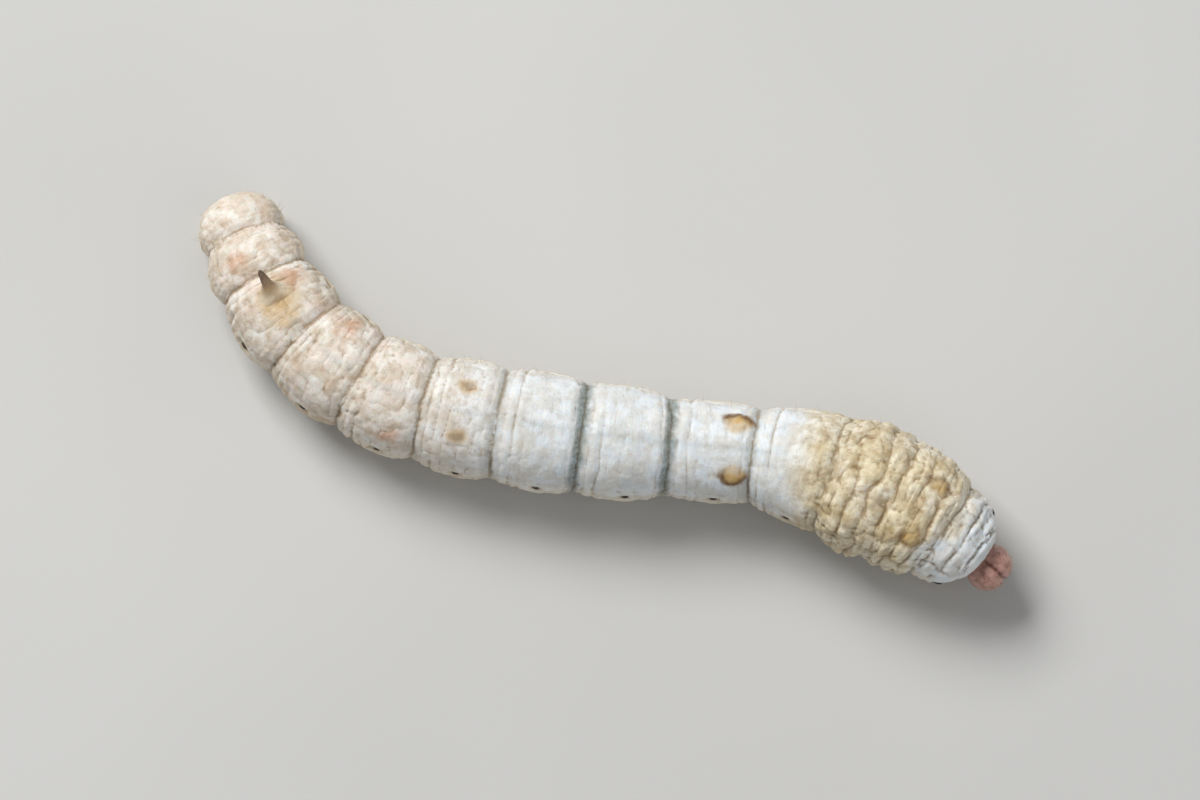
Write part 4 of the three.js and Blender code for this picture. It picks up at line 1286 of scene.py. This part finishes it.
def bristle_piece(name, tufts, homes):
    """One mesh of bristles. Its map gives each a small patch at a place set by its root."""
    points, faces = joined(tufts)
    piece = new_object(name, points, faces, HAIR)
    layer = piece.data.uv_layers.new(name="OFBake")
    corners = []
    for (tuft, tuft_faces), home in zip(tufts, homes):
        turn = np.arange(len(tuft)) * PATCH_TURN
        spots = np.stack([np.cos(turn), np.sin(turn)], 1) * PATCH / 2
        for face in tuft_faces:
            corners.extend(spots[list(face)] + home)
    layer.data.foreach_set("uv", np.asarray(corners).ravel())
    return piece


def body_hairs():
    tufts, homes = [], []

    def add(s, degrees, length, radius):
        root, out, forward, _ = on_skin(s, degrees)
        lie = -forward + hair_rng.normal(0, 0.25, 3)
        tufts.append(bristle(root, out + hair_rng.normal(0, 0.15, 3), lie, length, radius))
        homes.append((s / BODY_LENGTH, (degrees % 360) / 360))

    for name in NAMES:
        for share, degrees, length in LONG_BRISTLES:
            for angle in (degrees, 180 - degrees):
                s = min(on_ring(name, share + hair_rng.uniform(-0.06, 0.06)), BODY_LENGTH - 0.4)
                add(s, angle + hair_rng.uniform(-4, 4), length, HAIR_RADIUS["long"])
    for _ in range(DOWN_COUNT):
        s = hair_rng.uniform(HEAD_LENGTH + 0.4, BODY_LENGTH - 0.5)
        low = hair_rng.uniform() < 0.6
        degrees = hair_rng.uniform(-60, 10) if low else hair_rng.uniform(10, 90)
        degrees = degrees if hair_rng.uniform() < 0.5 else 180 - degrees
        add(s, degrees, hair_rng.uniform(0.16, 0.32), HAIR_RADIUS["down"])
    return tufts, homes


def head_hairs():
    tufts, homes = [], []
    for _ in range(HEAD_HAIR_COUNT):
        azimuth, height = hair_rng.uniform(-100, 100), hair_rng.uniform(-45, 65)
        direction = direction_at(azimuth, height)
        root = in_world(head_surface(direction))[0]
        out = direction[0] @ HEAD_PLACE[:3, :3].T
        lie = np.array([0.3, -0.2, -0.8])
        tufts.append(bristle(root, out, lie, hair_rng.uniform(0.25, 0.6), HAIR_RADIUS["head"]))
        homes.append((azimuth / 360 + 0.5, height / 180 + 0.5))
    return tufts, homes


def limb_hairs():
    tufts, homes = [], []
    limbs = [row[:3] for row in SOFT_LIMBS] + [(name, LEG_SHARE, LEG) for name in THORAX]
    for name, share, marks in limbs:
        columns = limb_profiles(marks)
        s = on_ring(name, share)
        for side in SIDES.values():
            base, ahead, out = limb_frame(s, side)
            for _ in range(LIMB_HAIR_COUNT):
                height = hair_rng.uniform(0.35, 1.9)
                across, along, shift, lead = [float(column(-height)) for column in columns]
                turn = math.radians(hair_rng.uniform(-110, 110))
                c, n = math.cos(turn), math.sin(turn)
                centre = base + (0, 0, height) + out * shift + ahead * lead
                root = centre + out * across * c + ahead * along * n
                facing = out * c + ahead * n + (0, 0, -0.3)
                length = hair_rng.uniform(0.18, 0.4)
                tufts.append(bristle(root, facing, np.array([0, 0, -1.0]), length, HAIR_RADIUS["limb"]))
                homes.append((s / BODY_LENGTH, 0.25 + 0.1 * side + height / 40))
    return tufts, homes


fit(bristle_piece("body_hairs", *body_hairs()), "skin")
fit(bristle_piece("head_hairs", *head_hairs()), "head_shell")
fit(bristle_piece("limb_hairs", *limb_hairs()), "leg_shell")

# Floor, light and camera
floor_nodes = Nodes("floor")
floor_patches = floor_nodes.ramp(floor_nodes.noise(60, 2), 0.3, 0.7)
floor_colour = floor_nodes.mix(floor_patches, srgb(208, 207, 204), srgb(203, 202, 199))
floor_nodes.set(Base_Color=floor_colour, Roughness=0.85)
bpy.ops.mesh.primitive_plane_add(size=3)
floor = bpy.context.object
floor.name = "floor"
floor.data.materials.append(floor_nodes.material)


def area_light(name, size, power, place):
    """A square light that faces the animal."""
    data = bpy.data.lights.new(name, "AREA")
    data.size = size
    data.energy = power
    light = link(bpy.data.objects.new(name, data))
    light.location = place
    light.rotation_euler = (-Vector(place)).to_track_quat("-Z", "Y").to_euler()


area_light("key", 0.35, 5.4, (-0.3, 0.4, 0.55))
area_light("fill", 0.9, 1.5, (0.6, -0.4, 0.5))
world = bpy.data.worlds.new("studio")
world.use_nodes = True
background = world.node_tree.nodes["Background"]
background.inputs["Color"].default_value = (0.95, 0.97, 1.0, 1)
background.inputs["Strength"].default_value = 0.26
bpy.context.scene.world = world
bpy.context.scene.view_settings.view_transform = "Standard"

camera_data = bpy.data.cameras.new("camera")
camera = link(bpy.data.objects.new("camera", camera_data))
elevation = math.radians(CAMERA_ELEVATION)
away = Vector((0, -math.cos(elevation), math.sin(elevation)))
camera.location = (Vector(WINDOW_CENTRE_MM) + away * CAMERA_DISTANCE) * MM
camera.rotation_euler = (-away).to_track_quat("-Z", "Y").to_euler()
window = WINDOW_PIXELS / PHOTO_PIXELS_PER_MM
camera_data.lens = camera_data.sensor_width * CAMERA_DISTANCE / window
camera_data.clip_start = 0.01
bpy.context.scene.camera = camera
